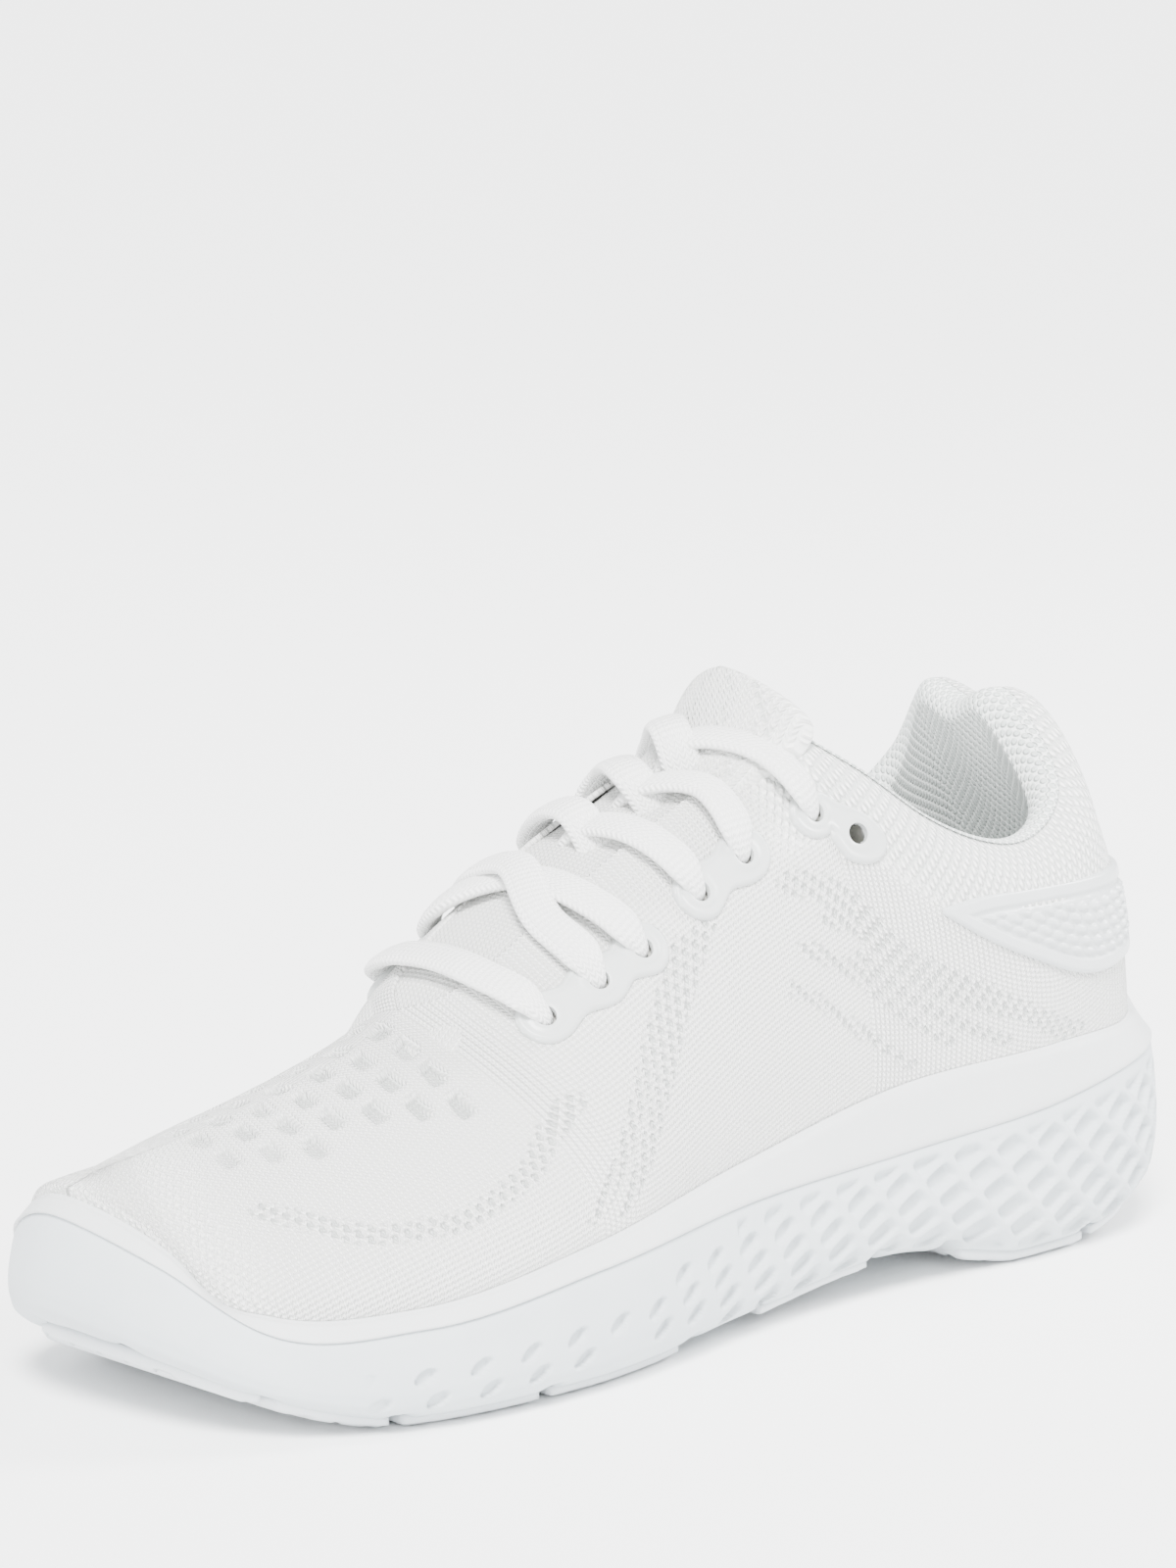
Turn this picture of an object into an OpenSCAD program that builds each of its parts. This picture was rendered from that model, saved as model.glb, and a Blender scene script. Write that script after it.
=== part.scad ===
// Left running shoe, about EU 42. Millimetres, +X to the toe, +Y to the lateral side, +Z up.
// Every layer follows the same few curves: p runs along each side from the heel back (0) to the
// toe tip (1), v runs up the upper from the midsole's rim (0) to its top edge (1).

/* [Walls] */
// Thickness of the knitted upper
knit_t = 1.4; // [1:0.1:1.6]
// Thickness of the eyestay films
film_t = 1.0; // [0.6:0.1:1.2]
// Thickness of the outsole rubber
rubber_t = 3; // [2.5:0.1:3.5]
// Thickness of the insole foam
insole_t = 4; // [3:0.5:5]

/* [Laces] */
// Radius of the eyelet holes
eyelet_r = 2.3; // [2.2:0.05:2.6]
// Radius of the lace where it is drawn together
lace_r = 1.6; // [1.4:0.1:1.7]
// Length of an aglet
aglet_l = 20; // [15:1:22]

/* [Tongue] */
// Half of the tongue's width
tongue_w = 17; // [15:0.5:17]
// Thickness of the tongue near its top
tongue_t = 9; // [6:0.5:10]

/* [Hidden] */

LATERAL = 1;
MEDIAL = -1;
gap = 0.2;

// Moves the outline's own axes so that the origin is under the middle of the whole shoe
centre = [4.5, -3.3, 0];

// Plan outline of the midsole at its widest, and the heights of its edges
P = [0, .05, .12, .22, .35, .5, .65, .78, .88, .94, 1];
PLAN_X = [-150, -147.3, -131, -98, -53, -2, 50, 94, 123.5, 135.5, 141];
PLAN_LATERAL = [0, 18.5, 35.5, 42, 40.5, 45, 55.5, 52.5, 37.5, 20, -8];
PLAN_MEDIAL = [0, -18.5, -35.5, -41.5, -37, -37, -47, -49, -41.5, -29, -8];
HEEL_RUN = 370;
TOE_RUN = -400;
Z_GROUND = [9, 7, 4, -0.8, 5.5, 1.5, -0.8, -0.8, 6, 11, 14];
Z_CREASE = [43, 42.5, 41.5, 36, 31.5, 29.5, 26, 21, 22.5, 34, 40.5];
Z_FLOOR = [31, 31, 30.5, 29.5, 26.5, 22.5, 19.5, 17, 18, 24, 28];
BITE_IN = [8.5, 8, 6.5, 5, 5, 5, 5, 5, 5, 5, 5];
LINING_IN = [12, 12, 12, 11.5, 11, 11, 11, 11, 11, 11, 11];
P_BITE = [0, .025, .06, .12, .22, .35, .5, .65, .78, .875, .91, .94, 1];
Z_BITE = [62, 60, 50.5, 48.8, 48, 45.5, 37.5, 30.5, 24.5, 25, 28, 36.5, 44];

// Top edge of the upper: collar, throat and, where the throat ends, the vamp's centre line
P_COLLAR = [0, .05, .12, .22, .30, .345, .38];
COLLAR = [[-107, 0, 119.5], [-106, 11, 122.5], [-108, 25, 105], [-90, 30, 92.5], [-66, 27, 100.5],
    [-51, 22, 111.5], [-38, 13, 121]];
P_THROAT = [.38, .42, .46, .50, .54, .58, .61, .64];
THROAT = [[-38, 13, 121], [-22, 12.5, 114], [-5, 12.5, 107], [12, 12.5, 99], [28, 12, 90],
    [44, 11, 80.5], [53, 8, 75], [59, 0, 71.5]];
P_RIDGE = [.64, .68, .74, .83, .91, 1];
RIDGE = [[59, 0, 71.5], [67, 0, 66.5], [82, -1, 60.5], [105, -3, 54], [121, -5, 50.5], [131, -6, 48.5]];
CORNER = .38;
THROAT_END = .64;

// Handles of the upper's cross curves: RISE is (outward, up) at the rim, FALL is (x, out, z) at the top
P_HANDLE = [0, .05, .12, .22, .30, .345, .38, .46, .54, .58, .61, .64, .68, .74, .83, .91, 1];
RISE = [[-2, 8], [-1, 14], [0, 18], [2, 14], [2, 16], [2, 20], [2, 24], [2, 26], [3, 24], [3, 20],
    [3, 18], [3, 16], [4, 14], [4, 12], [4, 9], [2.5, 6], [1, 3]];
FALL = [[-18, 0, -2], [-18, 5, -3], [-11, 8, -8], [-2, 10, -10], [0, 12, -14], [0, 13, -18],
    [-1, 15, -14], [0, 16, -9], [1, 17, -9], [1, 17, -8], [1, 16, -7], [1, 16, -5], [3, 17, -4],
    [4, 19, -4], [7, 17, -3], [8, 10, -3], [7, 0, -3]];
COLLAR_BACK = [12, 11, 8, 4, 3, 2, 2];

// Stations along a side and up the upper
SIDE = [0, .02, .045, .08, .12, .17, .22, .26, .30, .345, .38, .42, .46, .50, .54, .58, .61, .64, .68,
    .74, .78, .83, .875, .91, .94, .97, 1];
UP = [0, .12, .25, .4, .55, .7, .82, .92, 1];
LAST = len(SIDE) - 1;

// Eyelets as (p, v), from the toe end; the seventh is left empty
EYELETS = [[.58, .72], [.547, .70], [.518, .685], [.474, .71], [.441, .73], [.39, .735], [.365, .71]];

// Heel clip: upper and lower edges as heights over p
P_CLIP = [0, .06, .12, .19, .24, .28, .315];
CLIP_TOP = [84, 84, 84, 83.5, 83.5, 83.5, 82];
CLIP_LOW = [68, 66.5, 64, 62.5, 68, 74, 81];

// Tongue's centre line in the middle plane, from its stitched base to its rounded top
TONGUE = [[74, 53], [59, 64], [44, 74.5], [28, 84.5], [12, 93], [-4, 99.5], [-17, 106.3], [-29, 118],
    [-34.5, 130]];
TONGUE_ARCH = [24, 24, 21, 18, 15, 13, 12, 11, 12];
TONGUE_HALF = [1, 1, 1, 1, 1, .96, .9, .6, .5];
TONGUE_FULL = [.3, .35, .4, .5, .6, .75, .9, 1, .7];

// Free lace ends: from the top eyelets down the inside of each quarter, then forward on the insole
END_LATERAL = [[-35.3, 22, 96], [-35.8, 24, 89.5], [-36.5, 26.3, 82], [-37, 28, 74], [-37.3, 29.2, 66],
    [-37.3, 30, 58], [-36.5, 29.8, 50], [-33.5, 28.5, 42.5], [-28, 27.2, 36.2], [-20, 26.5, 33.2],
    [-10, 26.3, 32.2], [3, 26.8, 31.2], [17, 28, 30.4], [31, 30, 29.9]];
END_MEDIAL = [[-35.4, -20.5, 96.4], [-35.9, -22, 89.5], [-36.6, -23.6, 82], [-37, -24.8, 74],
    [-37.3, -25.5, 66], [-37.3, -25.8, 58], [-36.5, -25.3, 50], [-33.5, -24, 42.5], [-28, -22.5, 36.2],
    [-20, -21.5, 33.2], [-10, -21.2, 32.2], [3, -21.3, 31.2], [17, -22.2, 30.4], [31, -23.8, 29.9]];

// Curves ---------------------------------------------------------------------------------------

// Slopes at the knots of a smooth curve through ys over xs
function slopes(xs, ys, first, last) = let (n = len(xs))
    [for (i = [0:n - 1])
        i == 0 ? (is_undef(first) ? (ys[1] - ys[0]) / (xs[1] - xs[0]) : first)
        : i == n - 1 ? (is_undef(last) ? (ys[i] - ys[i - 1]) / (xs[i] - xs[i - 1]) : last)
        : let (a = xs[i] - xs[i - 1], b = xs[i + 1] - xs[i])
            ((ys[i] - ys[i - 1]) / a * b + (ys[i + 1] - ys[i]) / b * a) / (a + b)];

function span(xs, p, i = 0) = i >= len(xs) - 2 || p < xs[i + 1] ? i : span(xs, p, i + 1);

function curve(xs, ys, p, ms) = let (
        i = span(xs, p),
        h = xs[i + 1] - xs[i],
        t = (p - xs[i]) / h)
    (2 * t^3 - 3 * t^2 + 1) * ys[i] + (t^3 - 2 * t^2 + t) * h * ms[i]
    + (3 * t^2 - 2 * t^3) * ys[i + 1] + (t^3 - t^2) * h * ms[i + 1];

function unit(a) = a / norm(a);
function backwards(route) = [for (k = [len(route) - 1:-1:0]) route[k]];

function plan_points(ys) = [for (i = [0:len(P) - 1]) [PLAN_X[i], ys[i]]];
LATERAL_PLAN = plan_points(PLAN_LATERAL);
MEDIAL_PLAN = plan_points(PLAN_MEDIAL);
LATERAL_SLOPES = slopes(P, LATERAL_PLAN, [0, HEEL_RUN], [0, TOE_RUN]);
MEDIAL_SLOPES = slopes(P, MEDIAL_PLAN, [0, -HEEL_RUN], [0, -TOE_RUN]);
GROUND_SLOPES = slopes(P, Z_GROUND, 0, 0);
CREASE_SLOPES = slopes(P, Z_CREASE, 0, 0);
FLOOR_SLOPES = slopes(P, Z_FLOOR, 0, 0);
BITE_IN_SLOPES = slopes(P, BITE_IN);
LINING_IN_SLOPES = slopes(P, LINING_IN);
BITE_SLOPES = slopes(P_BITE, Z_BITE, 0, 0);
COLLAR_SLOPES = slopes(P_COLLAR, COLLAR);
THROAT_SLOPES = slopes(P_THROAT, THROAT);
RIDGE_SLOPES = slopes(P_RIDGE, RIDGE);
RISE_SLOPES = slopes(P_HANDLE, RISE);
FALL_SLOPES = slopes(P_HANDLE, FALL);
BACK_SLOPES = slopes(P_COLLAR, COLLAR_BACK);

function outline(s, p) = s > 0 ? curve(P, LATERAL_PLAN, p, LATERAL_SLOPES)
    : curve(P, MEDIAL_PLAN, p, MEDIAL_SLOPES);
function outward(s, p) = let (
        step = 0.0005,
        d = outline(s, min(p + step, 1)) - outline(s, max(p - step, 0)))
    unit([-d[1], d[0]]) * s;
function z_ground(p) = max(0, curve(P, Z_GROUND, p, GROUND_SLOPES));
function z_crease(p) = curve(P, Z_CREASE, p, CREASE_SLOPES);
function z_floor(p) = curve(P, Z_FLOOR, p, FLOOR_SLOPES);
function z_bite(p) = curve(P_BITE, Z_BITE, p, BITE_SLOPES);
function bite_in(p) = curve(P, BITE_IN, p, BITE_IN_SLOPES);
function lining_in(p) = curve(P, LINING_IN, p, LINING_IN_SLOPES);

// A point inside the outline by inset, at height z
function inset_point(s, p, inset, z) = let (q = outline(s, p) - outward(s, p) * inset)
    [q[0], q[1], z];

function mirrored(s, a) = [a[0], a[1] * s, a[2]];
function top_point(s, p) = p < CORNER ? mirrored(s, curve(P_COLLAR, COLLAR, p, COLLAR_SLOPES))
    : p < THROAT_END ? mirrored(s, curve(P_THROAT, THROAT, p, THROAT_SLOPES))
    : curve(P_RIDGE, RIDGE, p, RIDGE_SLOPES);

function bezier(a, b, c, d, t) = (1 - t)^3 * a + 3 * (1 - t)^2 * t * b + 3 * (1 - t) * t^2 * c + t^3 * d;

// Outer surface of the upper
function upper_point(s, p, v) = let (
        n = outward(s, p),
        foot = inset_point(s, p, bite_in(p), z_bite(p)),
        rise = curve(P_HANDLE, RISE, p, RISE_SLOPES),
        fall = mirrored(s, curve(P_HANDLE, FALL, p, FALL_SLOPES)),
        head = top_point(s, p))
    bezier(foot, foot + [n[0] * rise[0], n[1] * rise[0], rise[1]], head + fall, head, v);

function upper_normal(s, p, v) = let (
        step = 0.004,
        along = upper_point(s, min(p + step, 1), v) - upper_point(s, max(p - step, 0), v),
        across = upper_point(s, p, min(v + step, 1)) - upper_point(s, p, max(v - step, 0)))
    unit(cross(across, along)) * s;

// A point off the upper's outer surface, positive outside
function off_upper(s, p, v, h) = upper_point(s, p, v) + upper_normal(s, p, v) * h;

// The padded collar's roll: how far the lining's top edge is inside and below the collar's top edge
roll_in = 5;
roll_down = 2.5;

// Cavity side of the collar: stands on the insole's edge and meets the collar's top edge
function lining_point(s, p, w, h) = let (
        n = outward(s, p),
        out = [n[0], n[1], 0],
        foot = inset_point(s, p, lining_in(p), z_floor(p) + 8.5),
        head = top_point(s, p) - out * roll_in + [0, 0, -roll_down],
        back = curve(P_COLLAR, COLLAR_BACK, p, BACK_SLOPES))
    bezier(foot, foot + [0, 0, 24], head + out * back + [0, 0, -20], head, w) + out * h;

// The v at which the upper's cross curve passes height z
function v_at(s, p, z, low = 0, high = 1, turns = 12) = turns == 0 ? (low + high) / 2
    : let (mid = (low + high) / 2)
        upper_point(s, p, mid)[2] < z ? v_at(s, p, z, mid, high, turns - 1)
        : v_at(s, p, z, low, mid, turns - 1);

// Solids ---------------------------------------------------------------------------------------

function quad(a, b, c, d) = [[a, b, c], [a, c, d]];
function joined(lists) = [for (l = lists) for (f = l) f];

// Skin over a stack of closed loops, each of n points that go anticlockwise seen from the far end.
// The caps are ladders: "ring" pairs point k with n - k, "strip" pairs k with n - 1 - k.
module loft(loops, cap, turned = false) {
    n = len(loops[0]);
    m = len(loops);
    wall = joined([for (i = [0:m - 2]) for (j = [0:n - 1])
        quad(i * n + j, (i + 1) * n + j, (i + 1) * n + (j + 1) % n, i * n + (j + 1) % n)]);
    rungs = cap == "strip" ? joined([for (k = [0:n / 2 - 2]) quad(k, k + 1, n - 2 - k, n - 1 - k)])
        : concat([[0, 1, n - 1], [n / 2 - 1, n / 2, n / 2 + 1]],
            joined([for (k = [1:n / 2 - 2]) quad(k, k + 1, n - k - 1, n - k)]));
    near = rungs;
    far = [for (f = rungs) [for (k = [2:-1:0]) f[k] + (m - 1) * n]];
    faces = concat(wall, near, far);
    polyhedron([for (l = loops) for (q = l) q],
        turned ? [for (f = faces) [f[2], f[1], f[0]]] : faces);
}

// Closed band: loops that come back to the first one, with no caps
module band(loops) {
    n = len(loops[0]);
    m = len(loops);
    wall = joined([for (i = [0:m - 1]) for (j = [0:n - 1])
        quad(i * n + j, ((i + 1) % m) * n + j, ((i + 1) % m) * n + (j + 1) % n, i * n + (j + 1) % n)]);
    polyhedron([for (l = loops) for (q = l) q], wall);
}

// Once round the sole, anticlockwise from above: medial side forward, lateral side back
function round_points(f) = concat([for (k = [0:LAST]) f(MEDIAL, SIDE[k])],
    [for (k = [LAST - 1:-1:1]) f(LATERAL, SIDE[k])]);
function sole_ring(inset, z, shift = 0) =
    round_points(function (s, p) inset_point(s, p, inset, z(p) + shift));

// Stations from one side's p round the heel to the other side's, as (side, p)
function heel_wrap(reach) = concat([for (k = [LAST:-1:0]) if (SIDE[k] <= reach) [MEDIAL, SIDE[k]]],
    [for (p = SIDE) if (p > 0 && p <= reach) [LATERAL, p]]);
function toe_wrap(reach) = concat([for (p = SIDE) if (p >= reach) [MEDIAL, p]],
    [for (k = [LAST - 1:-1:0]) if (SIDE[k] >= reach) [LATERAL, SIDE[k]]]);

// A layer of the upper between two offsets, from station first of each side to the toe tip, whose
// two halves share the vamp's centre line. foot is an extra lowest row, as a function (s, p, h).
module upper_layer(first, rows, outer, inner, foot) {
    kept = [for (p = SIDE) if (p >= first) p];
    m = len(kept);
    extra = is_undef(foot) ? 0 : 1;
    n = len(rows) + extra;
    around = first == 0;
    function at(s, k, j, h) = j < extra ? foot(s, kept[k], h) : off_upper(s, kept[k], rows[j - extra], h);
    function key(s, k, j) = s < 0 && (k == m - 1 || (around && k == 0)
        || (j == n - 1 && rows[len(rows) - 1] == 1 && kept[k] >= THROAT_END)) ? [1, k, j] : [s, k, j];
    function id(s, k, j, h) = let (a = key(s, k, j)) (h * 2 + (a[0] < 0 ? 1 : 0)) * m * n + a[1] * n + a[2];
    points = [for (h = [0, 1]) for (s = [LATERAL, MEDIAL]) for (k = [0:m - 1]) for (j = [0:n - 1])
        at(s, k, j, h == 0 ? outer : inner)];
    skins = joined([for (h = [0, 1]) for (s = [LATERAL, MEDIAL]) for (k = [0:m - 2]) for (j = [0:n - 2])
        let (q = quad(id(s, k, j, h), id(s, k, j + 1, h), id(s, k + 1, j + 1, h), id(s, k + 1, j, h)))
        (h == 0) == (s > 0) ? [for (f = q) [f[2], f[1], f[0]]] : q]);
    low = joined([for (s = [LATERAL, MEDIAL]) for (k = [0:m - 2])
        let (q = quad(id(s, k, 0, 0), id(s, k + 1, 0, 0), id(s, k + 1, 0, 1), id(s, k, 0, 1)))
        s > 0 ? [for (f = q) [f[2], f[1], f[0]]] : q]);
    high = joined([for (s = [LATERAL, MEDIAL]) for (k = [0:m - 2])
        if (!(rows[len(rows) - 1] == 1 && kept[k] >= THROAT_END))
        let (q = quad(id(s, k, n - 1, 0), id(s, k, n - 1, 1), id(s, k + 1, n - 1, 1), id(s, k + 1, n - 1, 0)))
        s > 0 ? [for (f = q) [f[2], f[1], f[0]]] : q]);
    ends = around ? [] : joined([for (s = [LATERAL, MEDIAL]) for (j = [0:n - 2])
        let (q = quad(id(s, 0, j, 0), id(s, 0, j, 1), id(s, 0, j + 1, 1), id(s, 0, j + 1, 0)))
        s > 0 ? [for (f = q) [f[2], f[1], f[0]]] : q]);
    polyhedron(points, concat(skins, low, high, ends));
}

// Turns +Z onto direction a and moves there
module facing(at, a) {
    translate(at)
        rotate([0, acos(a[2] / norm(a)), atan2(a[1], a[0])])
            children();
}

// Holes of one side's eyelets, from the first to the last given
module eyelet_holes(s, first = 0, last = 6) {
    for (i = [first:last])
        let (e = EYELETS[i])
        facing(upper_point(s, e[0], e[1]), upper_normal(s, e[0], e[1]))
            cylinder(r = eyelet_r, h = 16, center = true, $fn = 24);
}

// Tube of radius r along points, with the frame carried from ring to ring
function turned_into(side, t) = unit(side - t * (side * t));
function tangents(route) = [for (i = [0:len(route) - 1])
    unit(route[min(i + 1, len(route) - 1)] - route[max(i - 1, 0)])];
function carried(ts, side, i = 0) = i >= len(ts) ? []
    : let (w = turned_into(side, ts[i])) concat([w], carried(ts, w, i + 1));
module tube(route, r, side, sides = 8) {
    ts = tangents(route);
    ws = carried(ts, side);
    loft([for (i = [0:len(route) - 1]) let (w = ws[i], u = cross(ts[i], w))
        [for (k = [0:sides - 1]) route[i] + r * (cos(k * 360 / sides) * w + sin(k * 360 / sides) * u)]],
        "ring");
}

// Smooth line through points, steps rings to each stretch
function smooth(route, steps) = let (
        xs = [for (i = [0:len(route) - 1]) i],
        ms = slopes(xs, route))
    [for (i = [0:(len(route) - 1) * steps]) curve(xs, route, i / steps, ms)];

// Sole -----------------------------------------------------------------------------------------

pad_inset = 9;
module outsole_pad(first, last, inset = pad_inset) {
    stations = [for (k = [0:5]) first + (last - first) * k / 5];
    color("whitesmoke")
        loft([for (p = stations) [
            inset_point(MEDIAL, p, inset, z_ground(p)), inset_point(LATERAL, p, inset, z_ground(p)),
            inset_point(LATERAL, p, inset - 1, z_ground(p) + rubber_t),
            inset_point(MEDIAL, p, inset - 1, z_ground(p) + rubber_t)]], "strip");
}
module outsole_toe() { outsole_pad(.885, .965); }
module outsole_forefoot_front() { outsole_pad(.80, .875); }
module outsole_forefoot_middle() { outsole_pad(.69, .79); }
module outsole_forefoot_rear() { outsole_pad(.56, .68); }
module outsole_midfoot() { outsole_pad(.38, .48); }
module outsole_heel_front() { outsole_pad(.185, .30); }
module outsole_heel_back() { outsole_pad(.05, .175); }

function wall_height(p, t) = let (low = z_ground(p) + rubber_t + gap) low + (z_crease(p) - low) * t;
wall_inset = [[10, 0], [7, .02], [2.5, .14], [0.4, .32], [0, .5], [0.8, .76], [2, 1]];
ledge_in = 5.4;
module midsole_base() {
    color("aliceblue")
        loft(concat([for (a = wall_inset) sole_ring(a[0], function (p) wall_height(p, a[1]))],
            [sole_ring(ledge_in, function (p) z_crease(p)), sole_ring(7.2, function (p) z_floor(p))]),
            "ring");
}

function rim_ring(inset, t) = round_points(function (s, p)
    inset_point(s, p, inset + (bite_in(p) - inset) * t,
        z_crease(p) + gap + (z_bite(p) - z_crease(p) - gap) * t));
module midsole_rim() {
    lip = 2.2;
    side_middle = .39;
    color("white")
        band([rim_ring(1.6, 0), rim_ring(1.2, side_middle),
            round_points(function (s, p) inset_point(s, p, bite_in(p) - lip, z_bite(p) - 0.6)),
            round_points(function (s, p) inset_point(s, p, bite_in(p) - 0.3, z_bite(p))),
            round_points(function (s, p) inset_point(s, p, min(bite_in(p), 6) - 0.2, z_crease(p) + gap))]);
}

module strobel_board() {
    color("gainsboro")
        loft([sole_ring(9.4, function (p) z_floor(p) + gap), sole_ring(9.4, function (p) z_floor(p) + 1.6)],
            "ring");
}

insole_in = 13.5;
insole_low = 1.8;
module insole_foam() {
    color("lightgray")
        loft([sole_ring(insole_in, function (p) z_floor(p) + insole_low),
            sole_ring(insole_in, function (p) z_floor(p) + insole_low + insole_t)], "ring");
}
module insole_top_cloth() {
    low = insole_low + insole_t + gap;
    color("silver")
        loft([sole_ring(insole_in, function (p) z_floor(p) + low),
            sole_ring(insole_in, function (p) z_floor(p) + low + 1)], "ring");
}

// Upper ----------------------------------------------------------------------------------------

knit_foot = 7.5;
backing_outer = -knit_t - 0.6;
lining_outer = backing_outer - 0.7;
lining_inner = lining_outer - 0.6;
module upper_knit() {
    color("white")
        difference() {
            upper_layer(0, UP, 0, -knit_t,
                function (s, p, h) inset_point(s, p, knit_foot - h, z_floor(p) + gap));
            eyelet_holes(LATERAL);
            eyelet_holes(MEDIAL);
        }
}

module vamp_lining() {
    color("gainsboro")
        difference() {
            upper_layer(CORNER, UP, lining_outer, lining_inner);
            eyelet_holes(LATERAL, 0, 5);
            eyelet_holes(MEDIAL, 0, 5);
        }
}

module toe_puff() {
    rows = [.04, .12, .25, .36];
    outer = lining_inner - 3 * gap;
    color("darkgray")
        loft([for (a = toe_wrap(.83)) concat(
            [for (v = rows) off_upper(a[0], a[1], v, outer)],
            [for (k = [len(rows) - 1:-1:0]) off_upper(a[0], a[1], rows[k], outer - 0.8)])],
            "strip", true);
}

counter_outer = -knit_t - gap;
counter_t = 1.2;
module heel_counter() {
    rows = [0, .12, .25, .4];
    color("dimgray")
        loft([for (a = heel_wrap(.22)) concat([for (v = rows) off_upper(a[0], a[1], v, counter_outer)],
            [for (k = [len(rows) - 1:-1:0]) off_upper(a[0], a[1], rows[k], counter_outer - counter_t)])],
            "strip");
}

module collar_padding() {
    rows = [0, .12, .25, .4, .55, .7, .82];
    depth = counter_outer - counter_t - gap;
    color("wheat")
        loft([for (a = heel_wrap(.345)) concat([for (v = rows) off_upper(a[0], a[1], v, depth)],
            [for (w = [.86, .72, .6, .45, .32, .2, .12]) lining_point(a[0], a[1], w, gap)])], "strip");
}

module collar_lining() {
    rows = [0, .12, .25, .4, .55, .7, .82, .92, .98];
    color("lightgray")
        loft([for (a = heel_wrap(.36)) concat([for (w = rows) lining_point(a[0], a[1], w, -gap)],
            [for (k = [len(rows) - 1:-1:0]) lining_point(a[0], a[1], rows[k], -1.2)])], "strip");
}

// Heel clip: a film that wraps the heel between its two edges
module heel_clip() {
    lift = 0.3;
    top_slopes = slopes(P_CLIP, CLIP_TOP, 0);
    low_slopes = slopes(P_CLIP, CLIP_LOW, 0);
    stations = [0, .02, .045, .08, .12, .17, .22, .26, .29, .31];
    wrap = concat([for (k = [len(stations) - 1:-1:0]) [MEDIAL, stations[k]]],
        [for (p = stations) if (p > 0) [LATERAL, p]]);
    function rows(s, p) = let (
            low = v_at(s, p, curve(P_CLIP, CLIP_LOW, p, low_slopes)),
            high = v_at(s, p, curve(P_CLIP, CLIP_TOP, p, top_slopes)))
        [for (k = [0:4]) low + (high - low) * k / 4];
    color("lightgray")
        loft([for (a = wrap) let (r = rows(a[0], a[1])) concat(
            [for (v = r) off_upper(a[0], a[1], v, lift + film_t)],
            [for (k = [len(r) - 1:-1:0]) off_upper(a[0], a[1], r[k], lift)])], "strip");
}

// Eyestays -------------------------------------------------------------------------------------

// Moves (p, v) by a distance along and across the upper's surface, in millimetres
function moved(s, e, along, up) = let (
        step = 0.004,
        dp = (upper_point(s, e[0] + step, e[1]) - upper_point(s, e[0] - step, e[1])) / (2 * step),
        dv = (upper_point(s, e[0], e[1] + step) - upper_point(s, e[0], e[1] - step)) / (2 * step),
        a = unit(dp),
        b = unit(dv - a * (dv * a)),
        v = up / (dv * b))
    [e[0] + (along - v * (dv * a)) / norm(dp), min(e[1] + v, .995)];

// Lobed strip along a chain of eyelets: wide round each hole and narrow between holes.
// ends are the lengths beyond the first and the last hole, outer and inner its distances off the upper.
module eyelet_strip(s, first, last, wide, narrow, ends, outer, inner) {
    steps = 6;
    count = (last - first) * steps;
    chain = [for (i = [first:last]) EYELETS[i]];
    xs = [for (i = [0:last - first]) i];
    ms = slopes(xs, chain);
    body = [for (k = [0:count]) let (t = k / steps, c = curve(xs, chain, t, ms))
        [c, 0, narrow + (wide - narrow) * pow(abs(cos(t * 180)), 1.5)]];
    round_off = [20, 45, 70];
    stations = concat([for (a = [70, 45, 20]) [chain[0], ends[0] * sin(a), wide * cos(a)]], body,
        [for (a = round_off) [chain[last - first], -ends[1] * sin(a), wide * cos(a)]]);
    across = [-1, -.5, 0, .5, 1];
    function row(a, h) = [for (w = across)
        let (e = moved(s, a[0], a[1], w * a[2])) off_upper(s, e[0], e[1], h)];
    difference() {
        loft([for (a = stations) concat(row(a, outer), backwards(row(a, inner)))], "strip", s > 0);
        eyelet_holes(s, first, last);
    }
}
module eyestay(s, first, last, wide, narrow, ends) {
    color("lightgray")
        eyelet_strip(s, first, last, wide, narrow, ends, 0.3 + film_t, 0.3);
}
module eyestay_lateral_lower() { eyestay(LATERAL, 0, 2, 6, 4.2, [6.5, 6]); }
module eyestay_lateral_middle() { eyestay(LATERAL, 3, 4, 6, 4.2, [6, 7]); }
module eyestay_lateral_top() { eyestay(LATERAL, 5, 6, 5.5, 3.6, [6, 8]); }
module eyestay_medial_lower() { eyestay(MEDIAL, 0, 2, 6, 4.2, [6.5, 6]); }
module eyestay_medial_middle() { eyestay(MEDIAL, 3, 4, 6, 4.2, [6, 7]); }
module eyestay_medial_top() { eyestay(MEDIAL, 5, 6, 5.5, 3.6, [6, 8]); }

module eyestay_backing(s) {
    color("gray")
        eyelet_strip(s, 0, 5, 5.5, 4.5, [6, 5], backing_outer, backing_outer - 0.4);
}
module eyestay_backing_lateral() { eyestay_backing(LATERAL); }
module eyestay_backing_medial() { eyestay_backing(MEDIAL); }

// Tongue ---------------------------------------------------------------------------------------

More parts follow.
